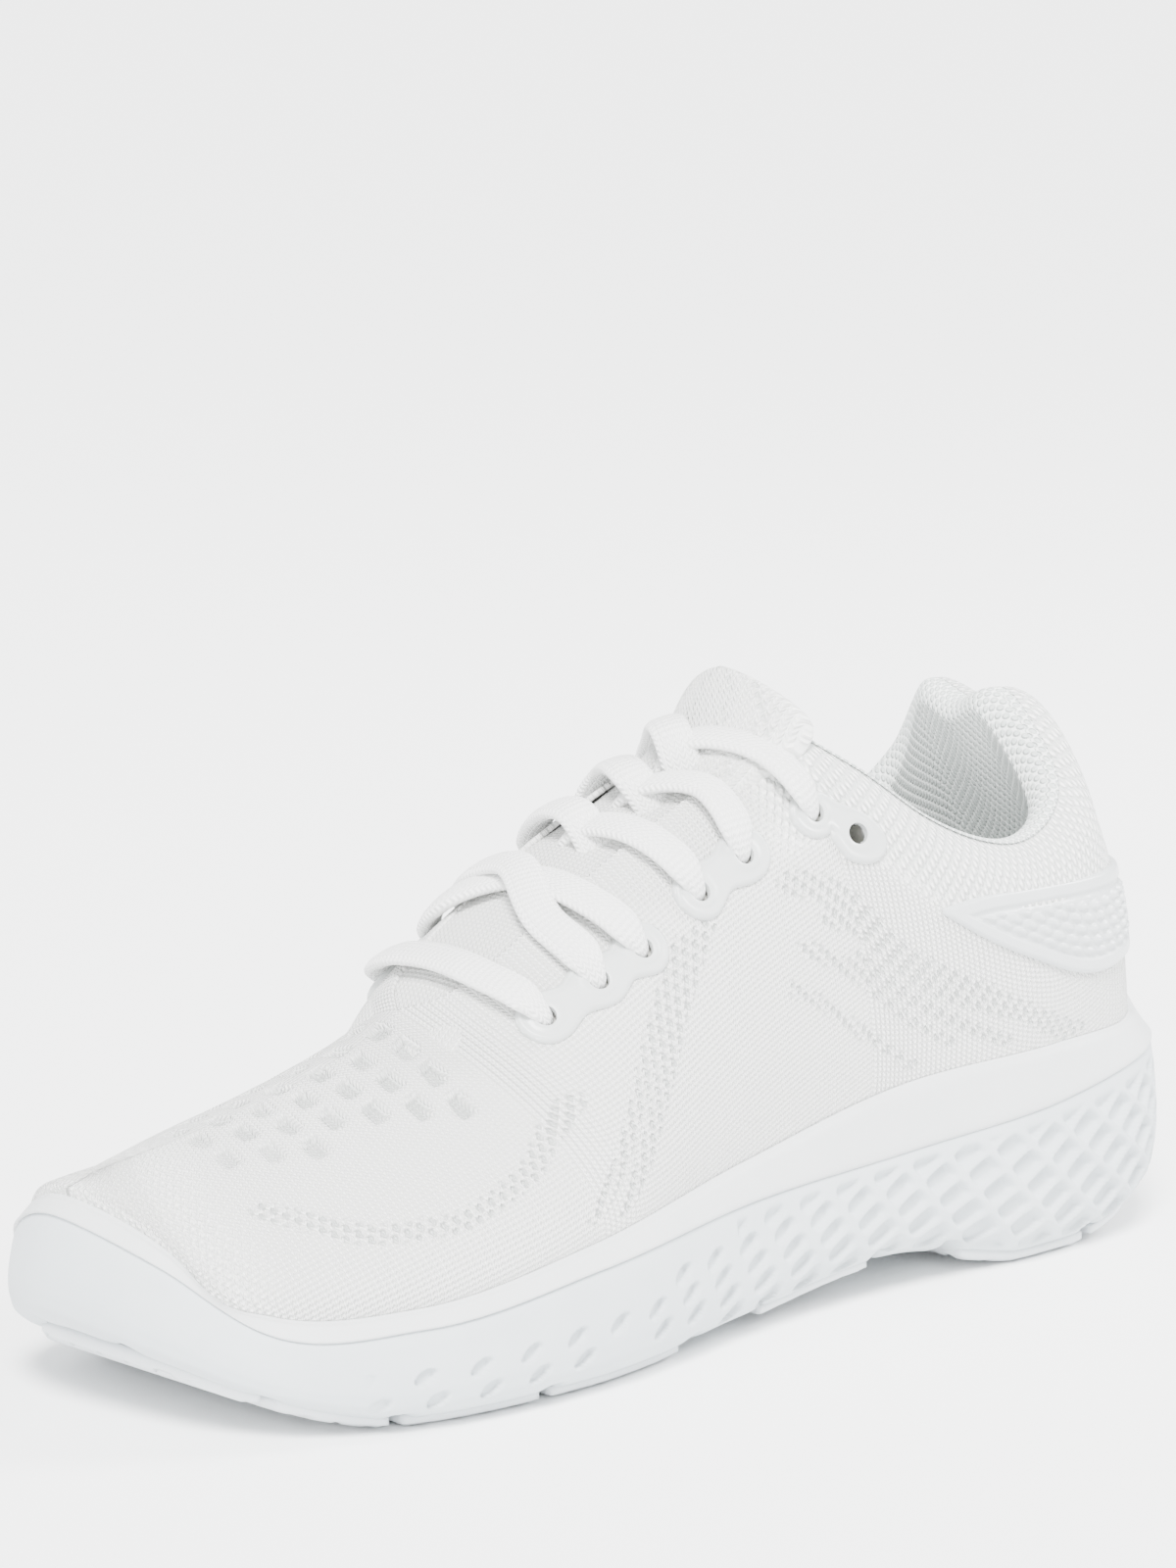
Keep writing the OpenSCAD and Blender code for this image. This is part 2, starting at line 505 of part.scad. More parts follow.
tongue_axis = [for (i = [0:len(TONGUE) - 1]) i];
tongue_slopes = slopes(tongue_axis, TONGUE);
arch_slopes = slopes(tongue_axis, TONGUE_ARCH);
half_slopes = slopes(tongue_axis, TONGUE_HALF);
full_slopes = slopes(tongue_axis, TONGUE_FULL);
function tongue_point(t, w, depth) = let (
        c = curve(tongue_axis, TONGUE, t, tongue_slopes),
        d = unit(curve(tongue_axis, TONGUE, t + .02, tongue_slopes)
            - curve(tongue_axis, TONGUE, t - .02, tongue_slopes)),
        y = w * tongue_w * curve(tongue_axis, TONGUE_HALF, t, half_slopes),
        h = -depth - y * y / (2 * curve(tongue_axis, TONGUE_ARCH, t, arch_slopes)))
    [c[0] + d[1] * h, y, c[1] - d[0] * h];
tongue_stations = [0.05, 1, 2, 3, 4, 5, 6, 6.5, 7, 7.4, 7.7, 7.9];
across_tongue = [-1, -.75, -.4, 0, .4, .75, 1];
// depths run from 0 at the outer skin to 1 at the tongue's underside
module tongue_layer(outer, inner) {
    function full(t) = tongue_t * curve(tongue_axis, TONGUE_FULL, t, full_slopes);
    loft([for (t = tongue_stations) concat(
        [for (w = across_tongue) tongue_point(t, w, outer(full(t)))],
        [for (k = [6:-1:0]) tongue_point(t, across_tongue[k], inner(full(t)))])], "strip");
}
skin_t = 0.8;
module tongue_shell() {
    color("white")
        tongue_layer(function (f) 0, function (f) skin_t);
}
module tongue_foam() {
    color("wheat")
        tongue_layer(function (f) skin_t + 2 * gap, function (f) f - skin_t - 2 * gap);
}
module tongue_lining() {
    color("lightgray")
        tongue_layer(function (f) f - skin_t, function (f) f);
}

// Lace -----------------------------------------------------------------------------------------

over = 3.8;
under = lining_inner - lace_r - gap;
function at_eyelet(s, i, h) = off_upper(s, EYELETS[i][0], EYELETS[i][1], h);

// Outside of eyelet i to its inside, or back
function through(s, i) = [at_eyelet(s, i, over), at_eyelet(s, i, 0), at_eyelet(s, i, under)];
function back_through(s, i) = [at_eyelet(s, i, under), at_eyelet(s, i, 0), at_eyelet(s, i, over)];

// Under the upper from eyelet i to the throat's edge at p, ending clear of the edge
function to_edge(s, i, p) = [off_upper(s, (EYELETS[i][0] + p) / 2, .88, under),
    off_upper(s, p, .99, under) + [0, -3 * s, 0]];

// The middle of the tongue's outer skin at t, with a gap of rise under the lace
function middle(t, rise) = tongue_point(t, 0, -lace_r - rise);

// Over the upper from the throat's edge at p to eyelet i
function edge_over(s, i, p) = [off_upper(s, p, .98, over), off_upper(s, (EYELETS[i][0] + p) / 2, .86, over)];

low_strand = 1.3;
high_strand = low_strand + 2 * lace_r + 0.3;
// A strand that comes from under side s at p_under and goes over to the outside of eyelet i of the
// other side, crossing the middle of the tongue at t
function strand(s, from, p_under, t, i, p_over, rise) = concat(
    to_edge(s, from, p_under), [middle(t, rise)], edge_over(-s, i, p_over));
// The same between two edges that it passes over
function over_both(s, from, p_from, t, i, p_over, rise) = concat(
    backwards(edge_over(s, from, p_from)), [middle(t, rise)], edge_over(-s, i, p_over));
function tucked(s) = [off_upper(s, .393, .66, under)];
function beside(s) = [off_upper(s, .563, .71, under)];

lateral_half = concat(
    tucked(LATERAL), back_through(LATERAL, 5),
    backwards(strand(MEDIAL, 4, .436, 6.6, 5, .402, low_strand)), back_through(MEDIAL, 4),
    backwards(strand(LATERAL, 3, .458, 5.5, 4, .44, high_strand)), back_through(LATERAL, 3),
    backwards(strand(MEDIAL, 2, .497, 4.4, 3, .482, low_strand)), back_through(MEDIAL, 2),
    backwards(over_both(LATERAL, 1, .547, 3.4, 2, .527, high_strand)), through(LATERAL, 1),
    beside(LATERAL), back_through(LATERAL, 0));
foot_bar = concat(backwards(edge_over(LATERAL, 0, .585)), [middle(2.05, 2 * over)],
    edge_over(MEDIAL, 0, .585));
medial_half = concat(
    through(MEDIAL, 0), beside(MEDIAL), back_through(MEDIAL, 1),
    over_both(MEDIAL, 1, .547, 3.4, 2, .527, low_strand), through(LATERAL, 2),
    strand(LATERAL, 2, .497, 4.4, 3, .482, high_strand), through(MEDIAL, 3),
    strand(MEDIAL, 3, .458, 5.5, 4, .44, low_strand), through(LATERAL, 4),
    strand(LATERAL, 4, .436, 6.6, 5, .402, high_strand), through(MEDIAL, 5), tucked(MEDIAL));
lace_route = concat(lateral_half, foot_bar, medial_half);

module lace() {
    color("snow")
        tube(lace_route, lace_r, [1, 0, 0]);
}
module lace_end(route) {
    color("snow")
        tube(smooth(route, 2), lace_r, [1, 0, 0]);
}
module lace_end_lateral() { lace_end(END_LATERAL); }
module lace_end_medial() { lace_end(END_MEDIAL); }

module aglet(route) {
    last = route[len(route) - 1];
    color("white")
        facing(last + unit(last - route[len(route) - 2]) * 0.1, last - route[len(route) - 2])
            cylinder(r = lace_r + 0.2, h = aglet_l, $fn = 24);
}
module aglet_lateral() { aglet(END_LATERAL); }
module aglet_medial() { aglet(END_MEDIAL); }

translate(centre) outsole_toe();
translate(centre) outsole_forefoot_front();
translate(centre) outsole_forefoot_middle();
translate(centre) outsole_forefoot_rear();
translate(centre) outsole_midfoot();
translate(centre) outsole_heel_front();
translate(centre) outsole_heel_back();
translate(centre) midsole_base();
translate(centre) midsole_rim();
translate(centre) strobel_board();
translate(centre) insole_foam();
translate(centre) insole_top_cloth();
translate(centre) upper_knit();
translate(centre) vamp_lining();
translate(centre) toe_puff();
translate(centre) heel_counter();
translate(centre) collar_padding();
translate(centre) collar_lining();
translate(centre) tongue_shell();
translate(centre) tongue_foam();
translate(centre) tongue_lining();
translate(centre) eyestay_lateral_lower();
translate(centre) eyestay_lateral_middle();
translate(centre) eyestay_lateral_top();
translate(centre) eyestay_medial_lower();
translate(centre) eyestay_medial_middle();
translate(centre) eyestay_medial_top();
translate(centre) eyestay_backing_lateral();
translate(centre) eyestay_backing_medial();
translate(centre) heel_clip();
translate(centre) lace();
translate(centre) lace_end_lateral();
translate(centre) lace_end_medial();
translate(centre) aglet_lateral();
translate(centre) aglet_medial();
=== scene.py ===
import math

import bmesh
import bpy
import numpy as np
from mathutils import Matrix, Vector


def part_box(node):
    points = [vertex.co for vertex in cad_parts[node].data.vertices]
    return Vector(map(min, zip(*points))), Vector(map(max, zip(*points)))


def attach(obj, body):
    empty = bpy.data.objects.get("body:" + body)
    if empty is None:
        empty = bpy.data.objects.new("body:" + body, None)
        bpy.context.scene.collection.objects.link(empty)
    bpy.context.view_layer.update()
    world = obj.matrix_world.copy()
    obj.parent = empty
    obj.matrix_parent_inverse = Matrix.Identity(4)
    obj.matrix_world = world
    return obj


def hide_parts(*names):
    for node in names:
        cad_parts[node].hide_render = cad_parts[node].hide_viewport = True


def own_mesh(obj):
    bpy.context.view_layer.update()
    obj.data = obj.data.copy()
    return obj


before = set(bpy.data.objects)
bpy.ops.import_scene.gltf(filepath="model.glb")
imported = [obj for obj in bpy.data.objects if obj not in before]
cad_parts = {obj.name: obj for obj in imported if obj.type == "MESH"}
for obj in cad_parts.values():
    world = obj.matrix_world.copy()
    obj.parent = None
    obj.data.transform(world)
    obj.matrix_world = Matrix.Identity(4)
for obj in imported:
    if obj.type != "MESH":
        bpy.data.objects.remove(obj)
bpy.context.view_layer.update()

MM = 0.001
LATERAL, MEDIAL = 1, -1

# ---------------------------------------------------------------- driving curves, in millimetres
# The CAD source's curves: p runs along each side from the heel back (0) to the toe tip (1) and v runs
# up the upper from the rim (0) to its top edge (1). The visible shoe differs from them in three places:
# the last rows of FALL give a fuller toe, TONGUE_ARCH and TONGUE_FULLNESS a fuller tongue, and the
# collar starts level at the heel back.
P = [0, .05, .12, .22, .35, .5, .65, .78, .88, .94, 1]
PLAN_X = [-150, -147.3, -131, -98, -53, -2, 50, 94, 123.5, 135.5, 141]
PLAN_LATERAL = [0, 18.5, 35.5, 42, 40.5, 45, 55.5, 52.5, 37.5, 20, -8]
PLAN_MEDIAL = [0, -18.5, -35.5, -41.5, -37, -37, -47, -49, -41.5, -29, -8]
HEEL_RUN, TOE_RUN = 370, -400
Z_GROUND = [9, 7, 4, -0.8, 5.5, 1.5, -0.8, -0.8, 6, 11, 14]
Z_CREASE = [43, 42.5, 41.5, 36, 31.5, 29.5, 26, 21, 22.5, 34, 40.5]
Z_FLOOR = [31, 31, 30.5, 29.5, 26.5, 22.5, 19.5, 17, 18, 24, 28]
BITE_IN = [8.5, 8, 6.5, 5, 5, 5, 5, 5, 5, 5, 5]
LINING_IN = [12, 12, 12, 11.5, 11, 11, 11, 11, 11, 11, 11]
P_BITE = [0, .025, .06, .12, .22, .35, .5, .65, .78, .875, .91, .94, 1]
Z_BITE = [62, 60, 50.5, 48.8, 48, 45.5, 37.5, 30.5, 24.5, 25, 28, 36.5, 44]
P_COLLAR = [0, .05, .12, .22, .30, .345, .38]
COLLAR = [(-107, 0, 119.5), (-106, 11, 122.5), (-108, 25, 105), (-90, 30, 92.5), (-66, 27, 100.5),
          (-51, 22, 111.5), (-38, 13, 121)]
P_THROAT = [.38, .42, .46, .50, .54, .58, .61, .64]
THROAT = [(-38, 13, 121), (-22, 12.5, 114), (-5, 12.5, 107), (12, 12.5, 99), (28, 12, 90),
          (44, 11, 80.5), (53, 8, 75), (59, 0, 71.5)]
P_RIDGE = [.64, .68, .74, .83, .91, 1]
RIDGE = [(59, 0, 71.5), (67, 0, 66.5), (82, -1, 60.5), (105, -3, 54), (121, -5, 50.5), (131, -6, 48.5)]
CORNER, THROAT_END = .38, .64
P_HANDLE = [0, .05, .12, .22, .30, .345, .38, .46, .54, .58, .61, .64, .68, .74, .83, .91, 1]
RISE = [(-2, 8), (-1, 14), (0, 18), (2, 14), (2, 16), (2, 20), (2, 24), (2, 26), (3, 24), (3, 20),
        (3, 18), (3, 16), (4, 14), (4, 12), (4, 9), (2.5, 6), (1, 3)]
FALL = [(-18, 0, -2), (-18, 5, -3), (-11, 8, -8), (-2, 10, -10), (0, 12, -14), (0, 13, -18),
        (-1, 15, -14), (0, 16, -9), (1, 17, -9), (1, 17, -8), (1, 16, -6), (1, 16, -3), (3, 17, -1.6),
        (4, 19, -1.4), (7, 17, -1.3), (8, 10, -1.5), (7, 0, -3)]
COLLAR_BACK = [12, 11, 8, 4, 3, 2, 2]
EYELETS = [(.58, .72), (.547, .70), (.518, .685), (.474, .71), (.441, .73), (.39, .735), (.365, .71)]
P_CLIP = [0, .06, .12, .19, .24, .28, .315]
CLIP_TOP = [84, 84, 84, 83.5, 83.5, 83.5, 82]
CLIP_LOW = [68, 66.5, 64, 62.5, 68, 74, 81]
TONGUE = [(74, 53), (59, 64), (44, 74.5), (28, 84.5), (12, 93), (-4, 99.5), (-17, 106.3), (-29, 118),
          (-34.5, 130)]
TONGUE_ARCH = [40, 50, 80, 90, 90, 90, 70, 34, 24]
TONGUE_FULLNESS = [1, 4, 5.4, 5.6, 6, 6, 5.8, 5, 3.5]
# The free ends of the lace, point by point as in the CAD source
END_LATERAL = [(-35.3, 22, 96), (-35.8, 24, 89.5), (-36.5, 26.3, 82), (-37, 28, 74), (-37.3, 29.2, 66),
               (-37.3, 30, 58), (-36.5, 29.8, 50), (-33.5, 28.5, 42.5), (-28, 27.2, 36.2), (-20, 26.5, 33.2),
               (-10, 26.3, 32.2), (3, 26.8, 31.2), (17, 28, 30.4), (31, 30, 29.9)]
END_MEDIAL = [(-35.4, -20.5, 96.4), (-35.9, -22, 89.5), (-36.6, -23.6, 82), (-37, -24.8, 74),
              (-37.3, -25.5, 66), (-37.3, -25.8, 58), (-36.5, -25.3, 50), (-33.5, -24, 42.5),
              (-28, -22.5, 36.2), (-20, -21.5, 33.2), (-10, -21.2, 32.2), (3, -21.3, 31.2),
              (17, -22.2, 30.4), (31, -23.8, 29.9)]
LACE_W, LACE_T = 8.6, 3.2
END_W, END_T = 4.6, 2.8

# Where the curves' own axes lie in the frame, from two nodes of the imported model
base_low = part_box("midsole_base")[0]
tongue_low, tongue_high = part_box("tongue_shell")
SHIFT = np.array([base_low.x / MM - PLAN_X[0], (tongue_low.y + tongue_high.y) / 2 / MM, 0.0])


# ---------------------------------------------------------------- curves
def slopes(xs, ys, first=None, last=None):
    xs = np.asarray(xs, float)
    ys = np.asarray(ys, float).reshape(len(xs), -1)
    h = np.diff(xs)[:, None]
    d = np.diff(ys, axis=0) / h
    m = np.empty_like(ys)
    m[1:-1] = (d[:-1] * h[1:] + d[1:] * h[:-1]) / (h[:-1] + h[1:])
    m[0] = d[0] if first is None else first
    m[-1] = d[-1] if last is None else last
    return m


def curve(xs, ys, p, first=None, last=None):
    """A smooth curve through ys over xs, at every value of p. Vector knots give one more axis."""
    xs = np.asarray(xs, float)
    flat = np.ndim(ys) == 1
    ys = np.asarray(ys, float).reshape(len(xs), -1)
    ms = slopes(xs, ys, first, last)
    p = np.asarray(p, float)
    i = np.clip(np.searchsorted(xs, p, side="right") - 1, 0, len(xs) - 2)
    h = xs[i + 1] - xs[i]
    t = ((p - xs[i]) / h)[..., None]
    h = h[..., None]
    out = ((2 * t**3 - 3 * t**2 + 1) * ys[i] + (t**3 - 2 * t**2 + t) * h * ms[i]
           + (3 * t**2 - 2 * t**3) * ys[i + 1] + (t**3 - t**2) * h * ms[i + 1])
    return out[..., 0] if flat else out


def smooth_step(low, high, x):
    t = np.clip((np.asarray(x, float) - low) / (high - low), 0, 1)
    return t * t * (3 - 2 * t)


def unit(a):
    return a / np.maximum(np.linalg.norm(a, axis=-1, keepdims=True), 1e-9)


def outline(s, p):
    ys = PLAN_LATERAL if s > 0 else PLAN_MEDIAL
    return curve(P, list(zip(PLAN_X, ys)), p, (0, HEEL_RUN * s), (0, TOE_RUN * s))


def outward(s, p):
    step = 0.0005
    d = outline(s, np.minimum(p + step, 1)) - outline(s, np.maximum(p - step, 0))
    return unit(np.stack([-d[..., 1], d[..., 0]], -1)) * s


def z_ground(p):
    return np.maximum(0, curve(P, Z_GROUND, p, 0, 0))


def z_crease(p):
    return curve(P, Z_CREASE, p, 0, 0)


def z_floor(p):
    return curve(P, Z_FLOOR, p, 0, 0)


def z_bite(p):
    return curve(P_BITE, Z_BITE, p, 0, 0)


def bite_in(p):
    return curve(P, BITE_IN, p)


def inset_point(s, p, inset, z):
    q = outline(s, p) - outward(s, p) * np.asarray(inset)[..., None]
    return np.stack([q[..., 0], q[..., 1], np.broadcast_to(z, q.shape[:-1])], -1)


def mirrored(s, a):
    return a * np.array([1, s, 1])


def top_point(s, p):
    p = np.asarray(p, float)[..., None]
    flat = p[..., 0]
    collar = mirrored(s, curve(P_COLLAR, COLLAR, flat, (0, 230, 0)))
    throat = mirrored(s, curve(P_THROAT, THROAT, flat))
    ridge = curve(P_RIDGE, RIDGE, flat)
    return np.where(p < CORNER, collar, np.where(p < THROAT_END, throat, ridge))


def bezier(a, b, c, d, t):
    t = t[..., None]
    return (1 - t)**3 * a + 3 * (1 - t)**2 * t * b + 3 * (1 - t) * t**2 * c + t**3 * d


def upper_point(s, p, v):
    p, v = np.broadcast_arrays(np.asarray(p, float), np.asarray(v, float))
    n = outward(s, p)
    foot = inset_point(s, p, bite_in(p), z_bite(p))
    rise = curve(P_HANDLE, RISE, p)
    fall = mirrored(s, curve(P_HANDLE, FALL, p))
    head = top_point(s, p)
    lift = np.concatenate([n * rise[..., :1], rise[..., 1:]], -1)
    return bezier(foot, foot + lift, head + fall, head, v)


def upper_normal(s, p, v):
    step = 0.004
    p, v = np.broadcast_arrays(np.asarray(p, float), np.asarray(v, float))
    along = upper_point(s, np.minimum(p + step, 1), v) - upper_point(s, np.maximum(p - step, 0), v)
    across = upper_point(s, p, np.minimum(v + step, 1)) - upper_point(s, p, np.maximum(v - step, 0))
    return unit(np.cross(across, along)) * s


def off_upper(s, p, v, h):
    return upper_point(s, p, v) + upper_normal(s, p, v) * np.asarray(h, float)[..., None]


def v_at(s, p, z):
    """The v at which the upper's cross curve passes height z."""
    low, high = np.zeros_like(p), np.ones_like(p)
    for _ in range(20):
        mid = (low + high) / 2
        below = upper_point(s, p, mid)[..., 2] < z
        low, high = np.where(below, mid, low), np.where(below, high, mid)
    return (low + high) / 2


# ---------------------------------------------------------------- meshes
def piece(name, points, faces, material, body, replaces=(), attributes=None):
    mesh = bpy.data.meshes.new(name)
    mesh.from_pydata((np.asarray(points) + SHIFT) * MM, [], faces)
    for key, values in (attributes or {}).items():
        layer = mesh.attributes.new(key, "FLOAT_VECTOR", "POINT")
        layer.data.foreach_set("vector", np.asarray(values, np.float32).ravel())
    mesh.validate()
    mesh.shade_smooth()
    obj = bpy.data.objects.new(name, mesh)
    bpy.context.scene.collection.objects.link(obj)
    mesh.materials.append(material)
    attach(obj, body)
    if replaces:
        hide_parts(*replaces)
    return obj


def face_outward(obj):
    """Turns every face of a closed piece outward."""
    bm = bmesh.new()
    bm.from_mesh(obj.data)
    bmesh.ops.recalc_face_normals(bm, faces=bm.faces)
    bm.to_mesh(obj.data)
    bm.free()
    obj.data.shade_smooth()


def grid_faces(nu, nv, start=0, wrap_u=False, wrap_v=False, turned=False, keep=None):
    """Quads of a grid of nu by nv points. keep is a mask over its quads."""
    iu = np.arange(nu if wrap_u else nu - 1)
    iv = np.arange(nv if wrap_v else nv - 1)
    a, b = np.meshgrid(iu, iv, indexing="ij")
    if keep is not None:
        a, b = a[keep], b[keep]
    a, b = a.ravel(), b.ravel()
    a2, b2 = (a + 1) % nu, (b + 1) % nv
    quads = np.stack([a * nv + b, a2 * nv + b, a2 * nv + b2, a * nv + b2], 1) + start
    return quads[:, ::-1] if turned else quads


def border_faces(nu, nv, keep, inner_start):
    """Walls between an outer grid (from 0) and an inner one (from inner_start) round the kept quads."""
    walls = []
    k = np.zeros((nu + 1, nv + 1), bool)
    k[1:nu, 1:nv] = keep
    for di, dj, ends in ((-1, 0, ((0, 0), (0, 1))), (1, 0, ((1, 1), (1, 0))),
                         (0, -1, ((1, 0), (0, 0))), (0, 1, ((0, 1), (1, 1)))):
        i, j = np.nonzero(k[1:nu, 1:nv] & ~k[1 + di:nu + di, 1 + dj:nv + dj])
        a = (i + ends[0][0]) * nv + j + ends[0][1]
        b = (i + ends[1][0]) * nv + j + ends[1][1]
        walls.append(np.stack([a, b, b + inner_start, a + inner_start], 1))
    return np.concatenate(walls)


def closed_sheet(name, outer, inner, material, body, keep=None, turned=False, replaces=(),
                 attributes=None, weld=False):
    nu, nv = outer.shape[:2]
    if keep is None:
        keep = np.ones((nu - 1, nv - 1), bool)
    n = nu * nv
    skins = np.concatenate([grid_faces(nu, nv, 0, turned=turned, keep=keep),
                            grid_faces(nu, nv, n, turned=not turned, keep=keep)])
    walls = border_faces(nu, nv, keep, n)
    if turned:
        walls = walls[:, ::-1]
    faces = np.concatenate([skins, walls])
    used = np.zeros(2 * n, bool)
    used[faces.ravel()] = True
    index = np.cumsum(used) - 1
    points = np.concatenate([outer.reshape(-1, 3), inner.reshape(-1, 3)])[used]
    marks = {k: np.concatenate([a.reshape(-1, 3)] * 2)[used] for k, a in (attributes or {}).items()}
    faces = index[faces]
    if weld:
        _, first, where = np.unique(np.round(points, 3), axis=0, return_index=True, return_inverse=True)
        faces = where.ravel()[faces]
        points = points[first]
        marks = {k: a[first] for k, a in marks.items()}
        _, group, count = np.unique(np.sort(faces, 1), axis=0, return_inverse=True, return_counts=True)
        faces = faces[count[group.ravel()] == 1]
    return piece(name, points, faces.tolist(), material, body, replaces, marks)


def loop_solid(name, loops, material, body, replaces=(), attributes=None, capped=True):
    """Skin over a stack of closed loops (m, n, 3), with each end closed by a fan."""
    m, n = loops.shape[:2]
    faces = grid_faces(m, n, 0, wrap_v=True).tolist()
    points = loops.reshape(-1, 3)
    marks = {k: a.reshape(-1, 3) for k, a in (attributes or {}).items()}
    if capped:
        points = np.concatenate([points, loops[:1].mean(1), loops[-1:].mean(1)])
        marks = {k: np.concatenate([a, a[:1], a[-1:]]) for k, a in marks.items()}
        for j in range(n):
            faces.append([m * n, j, (j + 1) % n])
            faces.append([m * n + 1, (m - 1) * n + (j + 1) % n, (m - 1) * n + j])
    obj = piece(name, points, faces, material, body, replaces, marks)
    face_outward(obj)
    return obj


def run_length(points, axis=0):
    """Distance along a grid of points, along one axis."""
    d = np.linalg.norm(np.diff(points, axis=axis), axis=-1)
    zero = np.zeros_like(np.take(d, [0], axis))
    return np.concatenate([zero, np.cumsum(d, axis)], axis)


# ---------------------------------------------------------------- materials
class Nodes:
    """A short way to write a material's node tree."""

    def __init__(self, name):
        self.material = bpy.data.materials.new(name)
        self.material.use_nodes = True
        self.tree = self.material.node_tree
        self.shader = self.tree.nodes["Principled BSDF"]

    def put(self, socket, value):
        if isinstance(value, bpy.types.NodeSocket):
            self.tree.links.new(value, socket)
        else:
            socket.default_value = value

    def math(self, operation, a, b=0.0, c=0.0):
        node = self.tree.nodes.new("ShaderNodeMath")
        node.operation = operation
        for socket, value in zip(node.inputs, (a, b, c)):
            self.put(socket, value)
        return node.outputs[0]

    def attribute(self, name):
        node = self.tree.nodes.new("ShaderNodeAttribute")
        node.attribute_name = name
        split = self.tree.nodes.new("ShaderNodeSeparateXYZ")
        self.tree.links.new(node.outputs["Vector"], split.inputs[0])
        return split.outputs

    def place(self):
        node = self.tree.nodes.new("ShaderNodeTexCoord")
        return node.outputs["Object"]

    def noise(self, scale, detail=2.0, rough=0.5, vector=None):
        node = self.tree.nodes.new("ShaderNodeTexNoise")
        node.inputs["Scale"].default_value = scale
        node.inputs["Detail"].default_value = detail
        node.inputs["Roughness"].default_value = rough
        self.tree.links.new(vector or self.place(), node.inputs["Vector"])
        return node.outputs["Fac"]

    def cells(self, scale, feature="F1", vector=None):
        node = self.tree.nodes.new("ShaderNodeTexVoronoi")
        node.feature = feature
        node.inputs["Scale"].default_value = scale
        self.tree.links.new(vector or self.place(), node.inputs["Vector"])
        return node.outputs["Distance"]

    def ramp(self, value, low, high, from_low=0.0, from_high=1.0):
        node = self.tree.nodes.new("ShaderNodeMapRange")
        node.interpolation_type = "SMOOTHSTEP"
        for key, item in (("Value", value), ("From Min", from_low), ("From Max", from_high),
                          ("To Min", low), ("To Max", high)):
            self.put(node.inputs[key], item)
        return node.outputs["Result"]

    def mix_color(self, factor, a, b):
        node = self.tree.nodes.new("ShaderNodeMix")
        node.data_type = "RGBA"
        self.put(node.inputs["Factor"], factor)
        self.put(node.inputs["A"], (*a, 1) if isinstance(a, tuple) else a)
        self.put(node.inputs["B"], (*b, 1) if isinstance(b, tuple) else b)
        return node.outputs["Result"]

    def bump(self, height_mm, strength=1.0):
        node = self.tree.nodes.new("ShaderNodeBump")
        node.inputs["Strength"].default_value = strength
        node.inputs["Distance"].default_value = MM
        self.put(node.inputs["Height"], height_mm)
        self.tree.links.new(node.outputs["Normal"], self.shader.inputs["Normal"])

    def finish(self, color, roughness, **sockets):
        self.put(self.shader.inputs["Base Color"], (*color, 1) if isinstance(color, tuple) else color)
        self.put(self.shader.inputs["Roughness"], roughness)
        for key, value in sockets.items():
            self.put(self.shader.inputs[key], value)
        return self.material

    # repeats of a thread pattern over (x, y) given in repeats
    def fold(self, x):
        """Distance of x to the nearest whole number, 0 to 0.5."""
        return self.math("PINGPONG", x, 0.5)

    def hexes(self, x, y):
        """Distance to the nearest centre of a staggered grid, about 0 at a centre and 0.5 at a rib."""
        def away(a, b):
            u, w = self.fold(a), self.fold(b)
            squares = self.math("ADD", self.math("MULTIPLY", u, u), self.math("MULTIPLY", w, w))
            return self.math("SQRT", squares)
        first = away(x, y)
        second = away(self.math("ADD", x, 0.5), self.math("ADD", y, 0.5))
        return self.math("MINIMUM", first, second)

    def stitches(self, x, y):
        """Columns of V-shaped stitches, 0 between threads to 1 on a thread."""
        u = self.fold(x)
        lean = self.math("ADD", y, self.math("MULTIPLY", u, 1.3))
        thread = self.math("MULTIPLY", self.fold(lean), 2.0)
        column = self.ramp(u, 0.0, 1.0, 0.02, 0.2)
        return self.math("MULTIPLY", thread, column)


def scaled(n, value, pitch):
    return n.math("DIVIDE", value, pitch)


# WARM is the knit's lit white, and SHADE is the painted shade colour that its gaps, holes and dimple floors
# are darkened towards
WARM = (.97, .965, .945)
SHADE = (.58, .605, .59)


